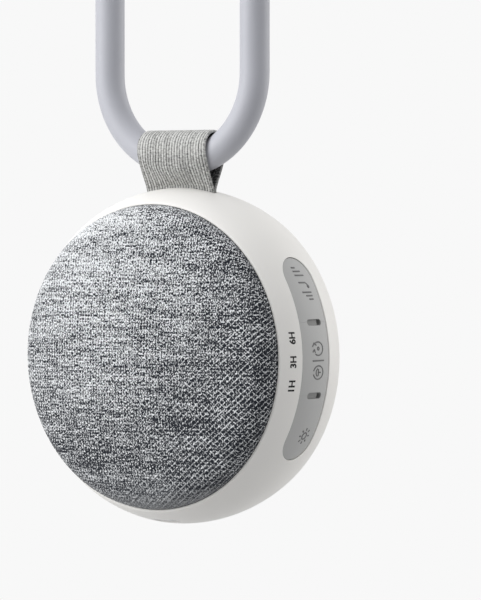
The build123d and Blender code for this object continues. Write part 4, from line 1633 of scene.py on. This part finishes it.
@dataclass
class GrilleCloth(SubAssembly):
    """Knitted cloth stretched over the domed grille.

    Attributes:
        knit: The knit's finish, which also sets the stitches' size.
        radius: Radius of the dome.
        roll: Radius of its rolled edge.
        slope: Slope of the dome's cap where the roll starts.
        skirt: How far the cloth reaches down behind the lip.
        pitch: Distance between the mesh's points.
    """

    knit: MelangeKnit
    radius: float = 44.9 * MM
    roll: float = 6.2 * MM
    slope: float = math.radians(11.0)
    skirt: float = 1.4 * MM
    relief: float = 0.13 * MM
    pitch: float = 0.305 * MM

    def section(self, length: np.ndarray) -> tuple[np.ndarray, np.ndarray, np.ndarray, np.ndarray]:
        """The dome's section by length along the cloth from its crown.

        Args:
            length: Lengths from the crown.

        Returns:
            Radius, y, and the normal's parts along the radius and y.
        """
        roll_circle = self.radius - self.roll
        cap = roll_circle / math.sin(self.slope) + self.roll
        edge_y = -self.form.front_depth
        cap_centre = edge_y + roll_circle / math.tan(self.slope)
        cap_length = cap * self.slope
        roll_length = self.roll * (math.pi / 2 - self.slope)
        on_cap = length / cap
        on_roll = self.slope + (length - cap_length) / self.roll
        turn = np.where(length < cap_length, on_cap, np.minimum(on_roll, math.pi / 2))
        radius = np.where(length < cap_length, cap * np.sin(turn), roll_circle + self.roll * np.sin(turn))
        y = np.where(length < cap_length, cap_centre - cap * np.cos(turn),
                     edge_y - self.roll * np.cos(turn))
        y = y + np.maximum(length - cap_length - roll_length, 0.0)
        return radius, y, np.sin(turn), -np.cos(turn)

    def reach(self) -> float:
        """Length of the cloth from its crown to its cut edge.

        Returns:
            The length in metres.
        """
        roll_circle = self.radius - self.roll
        cap = roll_circle / math.sin(self.slope) + self.roll
        return cap * self.slope + self.roll * (math.pi / 2 - self.slope) + self.skirt

    def build(self) -> None:
        """Models the cloth stitch by stitch over the dome."""
        reach, pitch = self.reach(), self.pitch
        count = 2 * math.ceil(reach / pitch)
        deselect_all()
        bpy.ops.mesh.primitive_grid_add(x_subdivisions=count, y_subdivisions=count, size=count * pitch,
                                        rotation=FACING_FRONT.to_euler())
        cloth = Workpiece(bpy.context.object, "speaker_cloth")
        cloth.settle()
        with cloth.editing():
            cloth.select_points(lambda co: math.hypot(co.x, co.z) > reach + 0.35 * pitch)
            bpy.ops.mesh.delete(type="VERT")
            bpy.ops.mesh.select_all(action="SELECT")
            bpy.ops.mesh.delete_loose()
        flat = cloth.points()
        right, up = flat[:, 0], flat[:, 2]
        length = np.hypot(right, up)
        # The outermost points are drawn onto the round edge.
        snap = np.where(length > reach - 0.65 * pitch, reach / np.maximum(length, 1e-9), 1.0)
        right, up, length = right * snap, up * snap, np.minimum(length * snap, reach)
        cloth.keep_flat_places(np.column_stack((right, up, np.zeros_like(up))))
        radius, y, out_radius, out_y = self.section(length)
        turn = np.arctan2(up, right)
        column = up / self.knit.tall + right / self.knit.wide
        row = up / self.knit.tall - right / self.knit.wide
        height = 0.5 + 0.3 * np.cos(math.tau * row) + 0.2 * np.cos(math.tau * column)
        lift = (height - 1.0) * self.relief
        radius, y = radius + out_radius * lift, y + out_y * lift
        z = radius * np.sin(turn) + self.form.centre.z
        cloth.move_points(np.column_stack((radius * np.cos(turn), y, z)))
        cloth.smooth(180)
        self.paint.give(cloth.obj, self.knit)
        cloth.hand_over("device", "grille_cloth", "melange_cloth")
        2 * reach
        2 * reach
        math.pi * reach**2


@dataclass
class StrapLoop(SubAssembly):
    """Ribbed elastic tape that runs from a bar in the housing round the ring and back.

    Attributes:
        tape: The tape's finish, which also sets the ribs' width.
        ring: The ring that it hangs from.
        clearance: Gap between the tape and the ring's rod.
        bar_drop: Depth of the bar's middle below the housing's top.
        face_gap: Half of the gap between the two runs where they meet.
        rise: Height above the housing at which the runs part.
        top_rise: Height of the loop's top above the machine's centre.
        side_rise: How far the crown starts above the rod's middle at the tape's edge.
        bend_above: Not used.
        bend_below: Not used.
    """

    tape: RibbedTape
    ring: "HangingRing"
    width: float = 24.8 * MM
    thickness: float = 0.9 * MM
    clearance: float = 0.32 * MM
    bar_drop: float = 6.8 * MM
    bar_radius: float = 1.25 * MM
    bar_gap: float = 0.02 * MM
    face_gap: float = 0.06 * MM
    rise: float = 0.8 * MM
    top_rise: float = 67.15 * MM
    side_rise: float = 0.4 * MM
    rib_height: float = 0.2 * MM
    rows: int = 236
    face_columns: int = 192
    back_columns: int = 52
    edge_columns: int = 5
    bend_above: float = 1.6 * MM
    bend_below: float = 6.2 * MM

    def tube_height(self, x: float) -> float:
        """Height above the machine's centre of the ring tube's middle at x, on its lower bend."""
        ring = self.ring
        return ring.lower_bend - math.sqrt(ring.half_width**2 - x**2) - self.form.centre.z

    def half_path(self, x: float) -> list[Point]:
        """The tape's middle line at x, from below the bar up the rear and over the ring's rod.

        Args:
            x: Place across the tape.

        Returns:
            Points as (y, height above the machine's centre).
        """
        half = self.thickness / 2
        bar_z = self.form.radius - self.bar_drop
        eye = self.bar_radius + half + self.bar_gap
        meet = half + self.face_gap
        lift = math.acos(meet / eye)
        path = arc_points((0, bar_z), eye, -math.pi / 2, lift, 10)
        neck = math.sqrt(self.form.radius**2 - x**2) + self.rise
        tube = self.tube_height(x)
        snug = self.ring.tube + self.clearance + half
        join = bar_z + eye * math.sin(lift)
        path += [(meet, join + (neck - join) * k / 6) for k in range(1, 7)]
        reach = math.hypot(meet, tube - neck)
        heading = math.atan2(tube - neck, -meet) - math.asin(snug / reach)
        touch_turn = heading - math.pi / 2
        touch = (snug * math.cos(touch_turn), tube + snug * math.sin(touch_turn))
        path += [(meet + (touch[0] - meet) * k / 20, neck + (touch[1] - neck) * k / 20)
                 for k in range(1, 21)]
        path += arc_points((0, tube), snug, touch_turn, 0.0, 12)[1:]
        top = self.top_rise - half
        crown = self.tube_height(self.width / 2) + self.side_rise
        path += [(snug, tube + (crown - tube) * k / 4) for k in range(1, 5) if crown > tube]
        for k in range(1, 21):
            t = math.pi / 2 * k / 20
            path.append((snug * math.cos(t), crown + (top - crown) * math.sin(t) ** 0.92))
        return path

    def path(self, x: float) -> tuple[np.ndarray, np.ndarray, np.ndarray]:
        """The closed middle line at x, evenly spaced.

        Args:
            x: Place across the tape.

        Returns:
            Places as (y, height), outward normals, and lengths along the line.
        """
        right = np.array(self.half_path(x))
        left = right[-2:0:-1] * np.array((-1.0, 1.0))
        line = np.vstack((right, left, right[:1]))
        steps = np.hypot(*np.diff(line, axis=0).T)
        length = np.concatenate(([0.0], np.cumsum(steps)))
        even = np.linspace(0, length[-1], self.rows, endpoint=False)
        places = np.column_stack([np.interp(even, length, line[:, i]) for i in (0, 1)])
        for _ in range(2):
            places = places * 0.5 + (np.roll(places, 1, 0) + np.roll(places, -1, 0)) * 0.25
        tangent = np.roll(places, -1, 0) - np.roll(places, 1, 0)
        tangent /= np.linalg.norm(tangent, axis=1)[:, None]
        normals = np.column_stack((tangent[:, 1], -tangent[:, 0]))
        return places, normals, even

    def section(self) -> tuple[np.ndarray, np.ndarray, np.ndarray]:
        """The tape's cross-section.

        Returns:
            For each point of the loop: place across the tape, height from its middle, and the
            rib's height from 0 to 1.
        """
        half_width, half = self.width / 2, self.thickness / 2
        face = np.linspace(-half_width + half, half_width - half, self.face_columns)
        back = np.linspace(half_width - half, -half_width + half, self.back_columns)
        turns = np.linspace(0, math.pi, self.edge_columns + 2)[1:-1]
        rib = np.abs(np.cos(math.pi * face / self.tape.rib)) ** 0.7
        rib[:2] = rib[-2:] = 0.4
        face_height = half - self.rib_height + self.rib_height * rib
        right_x, right_h = half_width - half + half * np.sin(turns), half * np.cos(turns)
        across = np.concatenate((face, right_x, back, -right_x[::-1]))
        height = np.concatenate((face_height, right_h * 0.8, np.full_like(back, -half),
                                 right_h[::-1] * 0.8))
        level = np.concatenate((rib, np.full(self.edge_columns, 0.55), np.full_like(back, 0.32),
                                np.full(self.edge_columns, 0.55)))
        return across, height, level

    def build(self) -> None:
        """Models the tape with its ribs."""
        across, height, level = self.section()
        columns = len(across)
        deselect_all()
        bpy.ops.mesh.primitive_torus_add(major_segments=self.rows, minor_segments=columns,
                                         major_radius=10 * MM, minor_radius=2 * MM)
        strap = Workpiece(bpy.context.object, "strap_tape")
        places = np.zeros((self.rows, columns, 3))
        flat = np.zeros((self.rows, columns, 3))
        row_share = np.arange(self.rows) / self.rows
        for column, (x, lift, rib) in enumerate(zip(across, height, level)):
            line, normals, lengths = self.path(float(x))
            slow = 0.10 * MM * np.sin(math.tau * (3 * row_share + 17 * x))
            quick = 0.06 * MM * np.sin(math.tau * (7 * row_share + 40 * x))
            places[:, column, 0] = x + (slow + quick)
            places[:, column, 1] = line[:, 0] + normals[:, 0] * lift
            places[:, column, 2] = line[:, 1] + normals[:, 1] * lift + self.form.centre.z
            from_top = lengths - lengths[self.rows // 2]
            flat[:, column] = np.column_stack((np.full(self.rows, x), from_top, np.full(self.rows, rib)))
        strap.move_points(places.reshape(-1, 3))
        strap.keep_flat_places(flat.reshape(-1, 3))
        with strap.editing():
            strap.face_outwards()
        strap.smooth(180)
        length = float(self.path(0.0)[2][-1]) * self.rows / (self.rows - 1)
        self.paint.give(strap.obj, self.tape)
        strap.hand_over(None, "strap_loop", "elastic_tape")
        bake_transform(strap.obj)


@dataclass
class HangingRing(SubAssembly):
    """Oblong snap ring of round rod with a sprung gate in its right leg.

    Attributes:
        half_width: Half of the distance between the legs' middles.
        low: Height of the lower bend's lowest middle above the machine's centre.
        pin_rise: Height of the gate's pin above the lower bend's centre.
        tongue: Thickness of the tongue between the gate's two cheeks.
        play: How much less the tongue's reach is than the rod's.
        foot_play: How far the gate's round foot stands past the rod's radius.
    """

    tube: float = 4.4 * MM
    half_width: float = 26.5 * MM
    low: float = 57.6 * MM
    straight: float = 50.0 * MM
    pin_rise: float = 26.9 * MM
    pin_hole: float = 1.03 * MM
    gate_length: float = 20.0 * MM
    tip_slope: float = math.radians(30.0)
    gap: float = 0.3 * MM
    tongue: float = 3.0 * MM
    play: float = 0.1 * MM
    foot_play: float = 0.03 * MM
    sides: int = 56
    bend_steps: int = 56
    soft: float = 0.25 * MM

    @property
    def lower_bend(self) -> float:
        """Height of the lower bend's centre in the frame."""
        return self.form.centre.z + self.low + self.half_width

    @property
    def upper_bend(self) -> float:
        """Height of the upper bend's centre in the frame."""
        return self.lower_bend + self.straight

    @property
    def pin(self) -> Vector:
        """The gate's pin."""
        return Vector((self.half_width, 0, self.lower_bend + self.pin_rise))

    def tip_plane(self, shift: float) -> tuple[Vector, Vector]:
        """A point and the normal of the slanted plane at the gate's tip, raised by a shift."""
        place = self.pin + Vector((0, 0, self.gate_length + shift))
        return place, Vector((math.sin(self.tip_slope), 0, math.cos(self.tip_slope)))

    def build(self) -> None:
        """Models the ring and its gate."""
        self.build_ring()
        self.build_gate()

    def build_ring(self) -> None:
        """Draws the ring's rod from below the gate round to the gate's tip."""
        shoulder = self.pin - Vector((0, 0, self.tube + self.gap))
        ring = Workpiece.disc("oblong_ring", self.tube, shoulder, Matrix.Identity(3), self.sides)
        centre_low, centre_high = Vector((0, 0, self.lower_bend)), Vector((0, 0, self.upper_bend))
        with ring.editing():
            bpy.ops.mesh.select_all(action="SELECT")
            ring.pull(Vector((0, 0, self.lower_bend - shoulder.z)))
            bpy.ops.mesh.spin(steps=self.bend_steps, angle=math.pi, center=centre_low, axis=(0, -1, 0))
            ring.pull(Vector((0, 0, self.straight)))
            bpy.ops.mesh.spin(steps=self.bend_steps, angle=math.pi, center=centre_high, axis=(0, -1, 0))
            ring.pull(Vector((0, 0, self.pin.z - self.upper_bend + self.gate_length / 2)))
        ring.tidy()
        place, _ = self.tip_plane(self.gap / 2)
        reach = 14 * MM
        cutter = Workpiece.block("tip_cutter", Vector((-1, -1, -1)) * reach, Vector((1, 1, 0)) * reach)
        turn = Matrix.Translation(place) @ Matrix.Rotation(self.tip_slope, 4, "Y")
        cutter.obj.data.transform(turn)
        ring.cut(cutter)
        inner, across = self.tube - self.play, Vector((0, self.tongue / 2, 0))
        plate = Workpiece.block("tongue", shoulder - Vector((inner, self.tongue / 2, 0.5 * MM)),
                                self.pin + Vector((inner, self.tongue / 2, 0)))
        nose = Workpiece.rod("nose", inner, self.pin - across, self.pin + across)
        hole = Workpiece.rod("pin_hole", self.pin_hole, self.pin - across * 3, self.pin + across * 3, 24)
        plate.cut(nose, "UNION")
        plate.cut(hole)
        ring.cut(plate, "UNION")
        self.dress(ring, "hanging_ring", "ring")

    def build_gate(self) -> None:
        """Models the gate with its forked foot and slanted tip."""
        above = self.pin + Vector((0, 0, self.gate_length + 2 * self.tube))
        below = self.pin - Vector((0, 0, 2 * self.tube))
        gate = Workpiece.rod("ring_gate_bar", self.tube, below, above, self.sides)
        place, normal = self.tip_plane(-self.gap / 2)
        with gate.editing():
            gate.slice(place, normal, keep_above=False)
            for degrees in range(-90, 91, 12):
                turn = math.radians(degrees)
                outward = Vector((math.sin(turn), 0, -math.cos(turn)))
                gate.slice(self.pin + outward * (self.tube + self.foot_play), outward, keep_above=False)
        across = Vector((0, self.tongue / 2 + self.play, 0))
        slot = Workpiece.rod("slot", self.tube + self.gap, self.pin - across, self.pin + across)
        hole = Workpiece.rod("pin_hole", self.pin_hole, self.pin - across * 6, self.pin + across * 6, 24)
        gate.cut(slot)
        gate.cut(hole)
        self.dress(gate, "ring_gate", "gate")

    def dress(self, piece: Workpiece, node: str, body: str) -> None:
        """Softens a piece's edges and gives it its finish.

        Args:
            piece: The piece.
            node: The node that it replaces.
            body: The body that it rides.
        """
        piece.modify("BEVEL", width=self.soft, segments=2, limit_method="ANGLE",
                     angle_limit=math.radians(38), harden_normals=False)
        piece.tidy()
        piece.smooth(30)
        self.paint.give(piece.obj, RING_FINISH)
        piece.hand_over(body, node, "ring_plastic")


@dataclass
class NightLight(SubAssembly):
    """Frosted cover and its slate bezel on the rear.

    Attributes:
        cover_stand: How far the cover's side stands out of the housing's rear edge.
    """

    steps: int = 256
    bezel_width: float = 1.15 * MM
    bezel_soft: float = 0.15 * MM
    cover_gap: float = 0.05 * MM
    cover_stand: float = 1.2 * MM
    cover_rounding: float = 0.8 * MM
    cover_wall: float = 1.6 * MM
    crown_steps: int = 24

    def build(self) -> None:
        """Models the bezel and the cover from the frame's own extents."""
        inner = self.build_bezel()
        self.build_cover(inner - self.cover_gap)

    def build_bezel(self) -> float:
        """Models the bezel.

        Returns:
            Its inner radius.
        """
        low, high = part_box("diffuser_ring")
        outer, rear, soft = high.x, self.form.rear_depth, self.bezel_soft
        inner = outer - self.bezel_width
        outline = [(outer, low.y), (outer, rear - soft)]
        outline += rounded((outer, rear - soft), (outer, rear),
                           (outer - soft * 0.6, rear + soft * 0.8), 4)[1:]
        outline += rounded((inner + soft, high.y - soft * 0.8), (inner, high.y), (inner, high.y - soft), 4)
        outline += [(inner, low.y)]
        bezel = turned("light_bezel", outline, self.steps, self.form.centre.z, closed=True)
        bezel.smooth(35)
        self.paint.give(bezel.obj, BEZEL_FINISH)
        bezel.hand_over("device", "diffuser_ring", "bezel_plastic")
        return inner

    def build_cover(self, edge: float) -> None:
        """Models the cover.

        Args:
            edge: Its radius.
        """
        low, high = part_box("light_diffuser")
        edge_y, wall = self.form.rear_depth + self.cover_stand, self.cover_wall
        shoulder, shoulder_y = edge - self.cover_rounding, edge_y + self.cover_rounding
        rise = high.y - shoulder_y
        arc = (shoulder**2 + rise**2) / (2 * rise)
        half = math.asin(shoulder / arc)
        turns = [half * (1 - k / self.crown_steps) for k in range(self.crown_steps + 1)]
        crown = [(arc * math.sin(turn), high.y - arc + arc * math.cos(turn)) for turn in turns]
        crown[-1] = (0.0, high.y)
        inside = [(radius * (1 - wall / shoulder), y - wall) for radius, y in crown]
        outline = [(edge - wall, low.y), (edge, low.y)]
        outline += arc_points((shoulder, edge_y), self.cover_rounding, 0, math.pi / 2, 6) + crown[1:]
        outline += inside[::-1]
        cover = turned("light_cover", outline, self.steps, self.form.centre.z, closed=True)
        cover.smooth(50)
        self.paint.give(cover.obj, WarmGlow("warm_glow", self.form.centre, edge))
        cover.hand_over("device", "light_diffuser", "warm_diffuser")


@dataclass
class ChargingInlet(SubAssembly):
    """Drawn steel shell and the contact tongue inside it.

    Attributes:
        half: Half of the shell's width and height.
        flare: Width of the mouth's flat edge.
        flare_depth: How far the wall steps in behind that edge.
        tongue_half: Half of the tongue's width and thickness.
        tongue_recess: Depth of the tongue's tip behind the mouth.
        contact_thickness: A contact's thickness, half of which is sunk into the tongue.
        contact_span: Where a contact starts behind the tongue's tip, and ends behind the mouth.
    """

    half: Point = (4.5 * MM, 1.6 * MM)
    shell: float = 0.35 * MM
    flare: float = 0.12 * MM
    flare_depth: float = 0.05 * MM
    tongue_half: Point = (3.35 * MM, 0.35 * MM)
    tongue_recess: float = 1.0 * MM
    contact_count: int = 12
    contact_pitch: float = 0.5 * MM
    contact_half: float = 0.13 * MM
    contact_thickness: float = 0.06 * MM
    contact_span: Point = (0.4 * MM, 4.4 * MM)

    def build(self) -> None:
        """Models the shell as a drawn can and the tongue with its contacts."""
        low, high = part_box("usb_port")
        y = (low.y + high.y) / 2
        self.build_shell(y, low.z, high.z)
        half_x, half_y = self.tongue_half
        tip = low.z + self.tongue_recess
        tongue = Workpiece.block("inlet_tongue", Vector((-half_x, y - half_y, tip)),
                                 Vector((half_x, y + half_y, high.z - self.shell)))
        tongue.modify("BEVEL", width=0.12 * MM, segments=3)
        self.paint.give(tongue.obj, INLET_FINISH)
        tongue.hand_over("device")
        self.build_contacts(y, low.z)

    def build_shell(self, y: float, bottom: float, top: float) -> None:
        """Models the shell.

        Args:
            y: Its middle from front to rear.
            bottom: Height of its mouth.
            top: Height of its closed end.
        """
        mouth = Workpiece.disc("inlet_shell", self.half[1], Vector((0, y, bottom)), Matrix.Identity(3), 50)
        spread, depth = self.half[0] - self.half[1], top - bottom
        with mouth.editing():
            for sign in (1, -1):
                mouth.select_points(lambda co, s=sign: s * co.x > 1e-7)
                bpy.ops.transform.translate(value=(sign * spread, 0, 0))
            mouth.pull_all(Vector((0, 0, depth)))
            mouth.select_faces(lambda middle, normal: normal.z < -0.9)
            bpy.ops.mesh.inset(thickness=self.flare, depth=0.0)
            bpy.ops.mesh.inset(thickness=self.shell - self.flare, depth=-self.flare_depth)
            mouth.pull(Vector((0, 0, depth - self.shell)))
        mouth.tidy()
        mouth.modify("BEVEL", width=0.06 * MM, segments=2, limit_method="ANGLE",
                     angle_limit=math.radians(50))
        mouth.smooth(40)
        self.paint.give(mouth.obj, STEEL_FINISH)
        mouth.hand_over("device", "usb_port")

    def build_contacts(self, y: float, bottom: float) -> None:
        """Models the contacts on both faces of the tongue.

        Args:
            y: The tongue's middle from front to rear.
            bottom: Height of the shell's mouth.
        """
        contacts = []
        start = bottom + self.tongue_recess + self.contact_span[0]
        for k in range(self.contact_count):
            x = (k - (self.contact_count - 1) / 2) * self.contact_pitch
            for face in (1, -1):
                sunk = y + face * (self.tongue_half[1] - self.contact_thickness / 2)
                proud = sunk + face * self.contact_thickness
                pin_low = Vector((x - self.contact_half, min(sunk, proud), start))
                pin_high = Vector((x + self.contact_half, max(sunk, proud), bottom + self.contact_span[1]))
                contacts.append(Workpiece.block("contact", pin_low, pin_high))
        contacts[0].join(contacts[1:])
        pins = Workpiece(contacts[0].obj, "inlet_contacts")
        pins.modify("BEVEL", width=0.02 * MM, segments=1)
        self.paint.give(pins.obj, STEEL_FINISH)
        pins.hand_over("device")


# ---- studio
@dataclass
class Studio:
    """Pale floor, soft lamps and the camera.

    Attributes:
        form: The side's form, which the camera is aimed by.
        azimuth: How far round to the machine's right the camera stands.
        elevation: How far it looks down.
        aim_shift: How far the machine's centre lies right of and above the middle of the view.
        aim_y: How far behind the widest circle that is measured.
    """

    form: SideForm
    azimuth: float = math.radians(34.87)
    elevation: float = math.radians(1.41)
    distance: float = 1.0906
    aim_shift: Point = (-18.944 * MM, -16.608 * MM)
    aim_y: float = -2.4 * MM
    lens: float = 220.0
    backdrop: Colour = srgb(248, 248, 248)
    floor_drop: float = 94 * MM
    lamp_size: float = 0.8

    def build(self) -> None:
        """Sets up everything round the machine."""
        self.set_camera()
        self.light_world()
        self.lay_floor()
        self.hang_lamps()
        bpy.context.scene.view_settings.view_transform = "Standard"

    def set_camera(self) -> None:
        """Puts the camera in front of the machine, a little to its right."""
        a, e = self.azimuth, self.elevation
        right = Vector((math.cos(a), math.sin(a), 0))
        ahead = Vector((-math.sin(a) * math.cos(e), math.cos(a) * math.cos(e), -math.sin(e)))
        up = right.cross(ahead)
        aim = self.form.centre + Vector((0, self.aim_y, 0))
        data = bpy.data.cameras.new("studio_camera")
        data.lens = self.lens
        data.sensor_width = 36.0
        data.clip_start, data.clip_end = 0.05, 50.0
        camera = bpy.data.objects.new("studio_camera", data)
        camera.location = aim - right * self.aim_shift[0] - up * self.aim_shift[1] - ahead * self.distance
        camera.rotation_mode = "QUATERNION"
        camera.rotation_quaternion = Matrix((right, up, -ahead)).transposed().to_quaternion()
        bpy.context.scene.collection.objects.link(camera)
        bpy.context.scene.camera = camera

    def light_world(self) -> None:
        """White surroundings for the camera and for reflections, a softer light for the rest."""
        world = bpy.data.worlds.new("studio")
        bpy.context.scene.world = world
        world.use_nodes = True
        recipe = Recipe("studio", world.node_tree)
        seen = recipe.seen()
        shown = recipe.sock("ShaderNodeBackground", {}, {"Color": self.backdrop, "Strength": 1.0})
        fill = recipe.sock("ShaderNodeBackground", {}, {"Color": (0.97, 0.98, 1.0), "Strength": 0.52})
        mixed = recipe.sock("ShaderNodeMixShader", {}, {0: seen, 1: fill, 2: shown})
        recipe.node("ShaderNodeOutputWorld", {}, {"Surface": mixed})

    def lay_floor(self) -> None:
        """A pale floor that melts into the backdrop away from the machine."""
        deselect_all()
        level = self.form.centre.z - self.form.radius - self.floor_drop
        bpy.ops.mesh.primitive_circle_add(vertices=96, radius=12.0, fill_type="NGON",
                                          location=(0, 0, level))
        floor = bpy.context.object
        floor.name = "floor"
        recipe = Recipe("pale_floor")
        x, y, _ = recipe.parts(recipe.place())
        far = ((x * x + y * y) ** 0.5).step(0.25, 0.55)
        seen = recipe.seen()
        paper = recipe.sock("ShaderNodeBsdfPrincipled", {}, {
            "Base Color": recipe.mix((0.45, 0.45, 0.45), (0.92, 0.92, 0.92), seen), "Roughness": 0.9,
            "Specular IOR Level": 0.1})
        glow = recipe.sock("ShaderNodeEmission", {}, {"Color": self.backdrop, "Strength": 1.0})
        mixed = recipe.sock("ShaderNodeMixShader", {}, {0: seen * far, 1: paper, 2: glow})
        recipe.node("ShaderNodeOutputMaterial", {}, {"Surface": mixed})
        floor.data.materials.append(recipe.material)

    def hang_lamps(self) -> None:
        """Soft boxes on the left, right and above, placed as seen from the camera."""
        a = self.azimuth
        right = Vector((math.cos(a), math.sin(a), 0))
        ahead = Vector((-math.sin(a), math.cos(a), 0))
        up = Vector((0, 0, 1))
        lamps = (
            ("left_box", -0.97 * right - 0.24 * ahead + 0.35 * up, 9.0, (1.0, 1.0, 1.0)),
            ("right_box", 0.95 * right + 0.31 * ahead + 0.2 * up, 3.7, (1.0, 0.985, 0.955)),
            ("top_box", -0.1 * right - 0.1 * ahead + 1.1 * up, 2.9, (1.0, 1.0, 1.0)),
        )
        for name, offset, power, colour in lamps:
            data = bpy.data.lights.new(name, "AREA")
            data.shape, data.size, data.energy, data.color = "SQUARE", self.lamp_size, power, colour
            lamp = bpy.data.objects.new(name, data)
            lamp.location = self.form.centre + offset
            lamp.rotation_mode = "QUATERNION"
            lamp.rotation_quaternion = (-offset).to_track_quat("-Z", "Y")
            bpy.context.scene.collection.objects.link(lamp)


# ---- assembly
def main() -> None:
    """Builds every piece, then the studio."""
    logging.basicConfig(level=logging.INFO, format="%(message)s")
    form = machine_form()
    paint = PaintBox()
    housing = Housing(form, paint)
    housing.build()
    strips = (
        KeyStrip(form, paint, Side.RIGHT, housing.strip, ("sound_key", "timer_key", "light_key"),
                 (("sound_key", Icon.SOUND, -1.4 * MM, 21.9 * MM),
                  ("timer_key", Icon.LOOP, -1.0 * MM, 3.2 * MM),
                  ("timer_key", Icon.BAR, -1.0 * MM, -0.3 * MM),
                  ("timer_key", Icon.TIMER, -0.9 * MM, -3.75 * MM),
                  ("light_key", Icon.LIGHT, -0.6 * MM, -22.4 * MM))),
        KeyStrip(form, paint, Side.LEFT, housing.strip, ("volume_down_key", "volume_up_key", "power_key"),
                 (("volume_down_key", Icon.QUIETER, -1.0 * MM, 21.4 * MM),
                  ("volume_up_key", Icon.LOUDER, -1.0 * MM, -0.3 * MM),
                  ("power_key", Icon.POWER, -0.8 * MM, -22.4 * MM))),
    )
    for strip in strips:
        strip.build()
    ring = HangingRing(form, paint)
    ring.build()
    GrilleCloth(form, paint, MelangeKnit()).build()
    StrapLoop(form, paint, RibbedTape(), ring).build()
    NightLight(form, paint).build()
    ChargingInlet(form, paint).build()
    for node, finish in NODE_FINISHES.items():
        paint.give(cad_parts[node], finish)
        LOG.info("%s: keeps its mesh, in %s", node, finish.name)
    Studio(form).build()


if __name__ == "__main__":
    main()
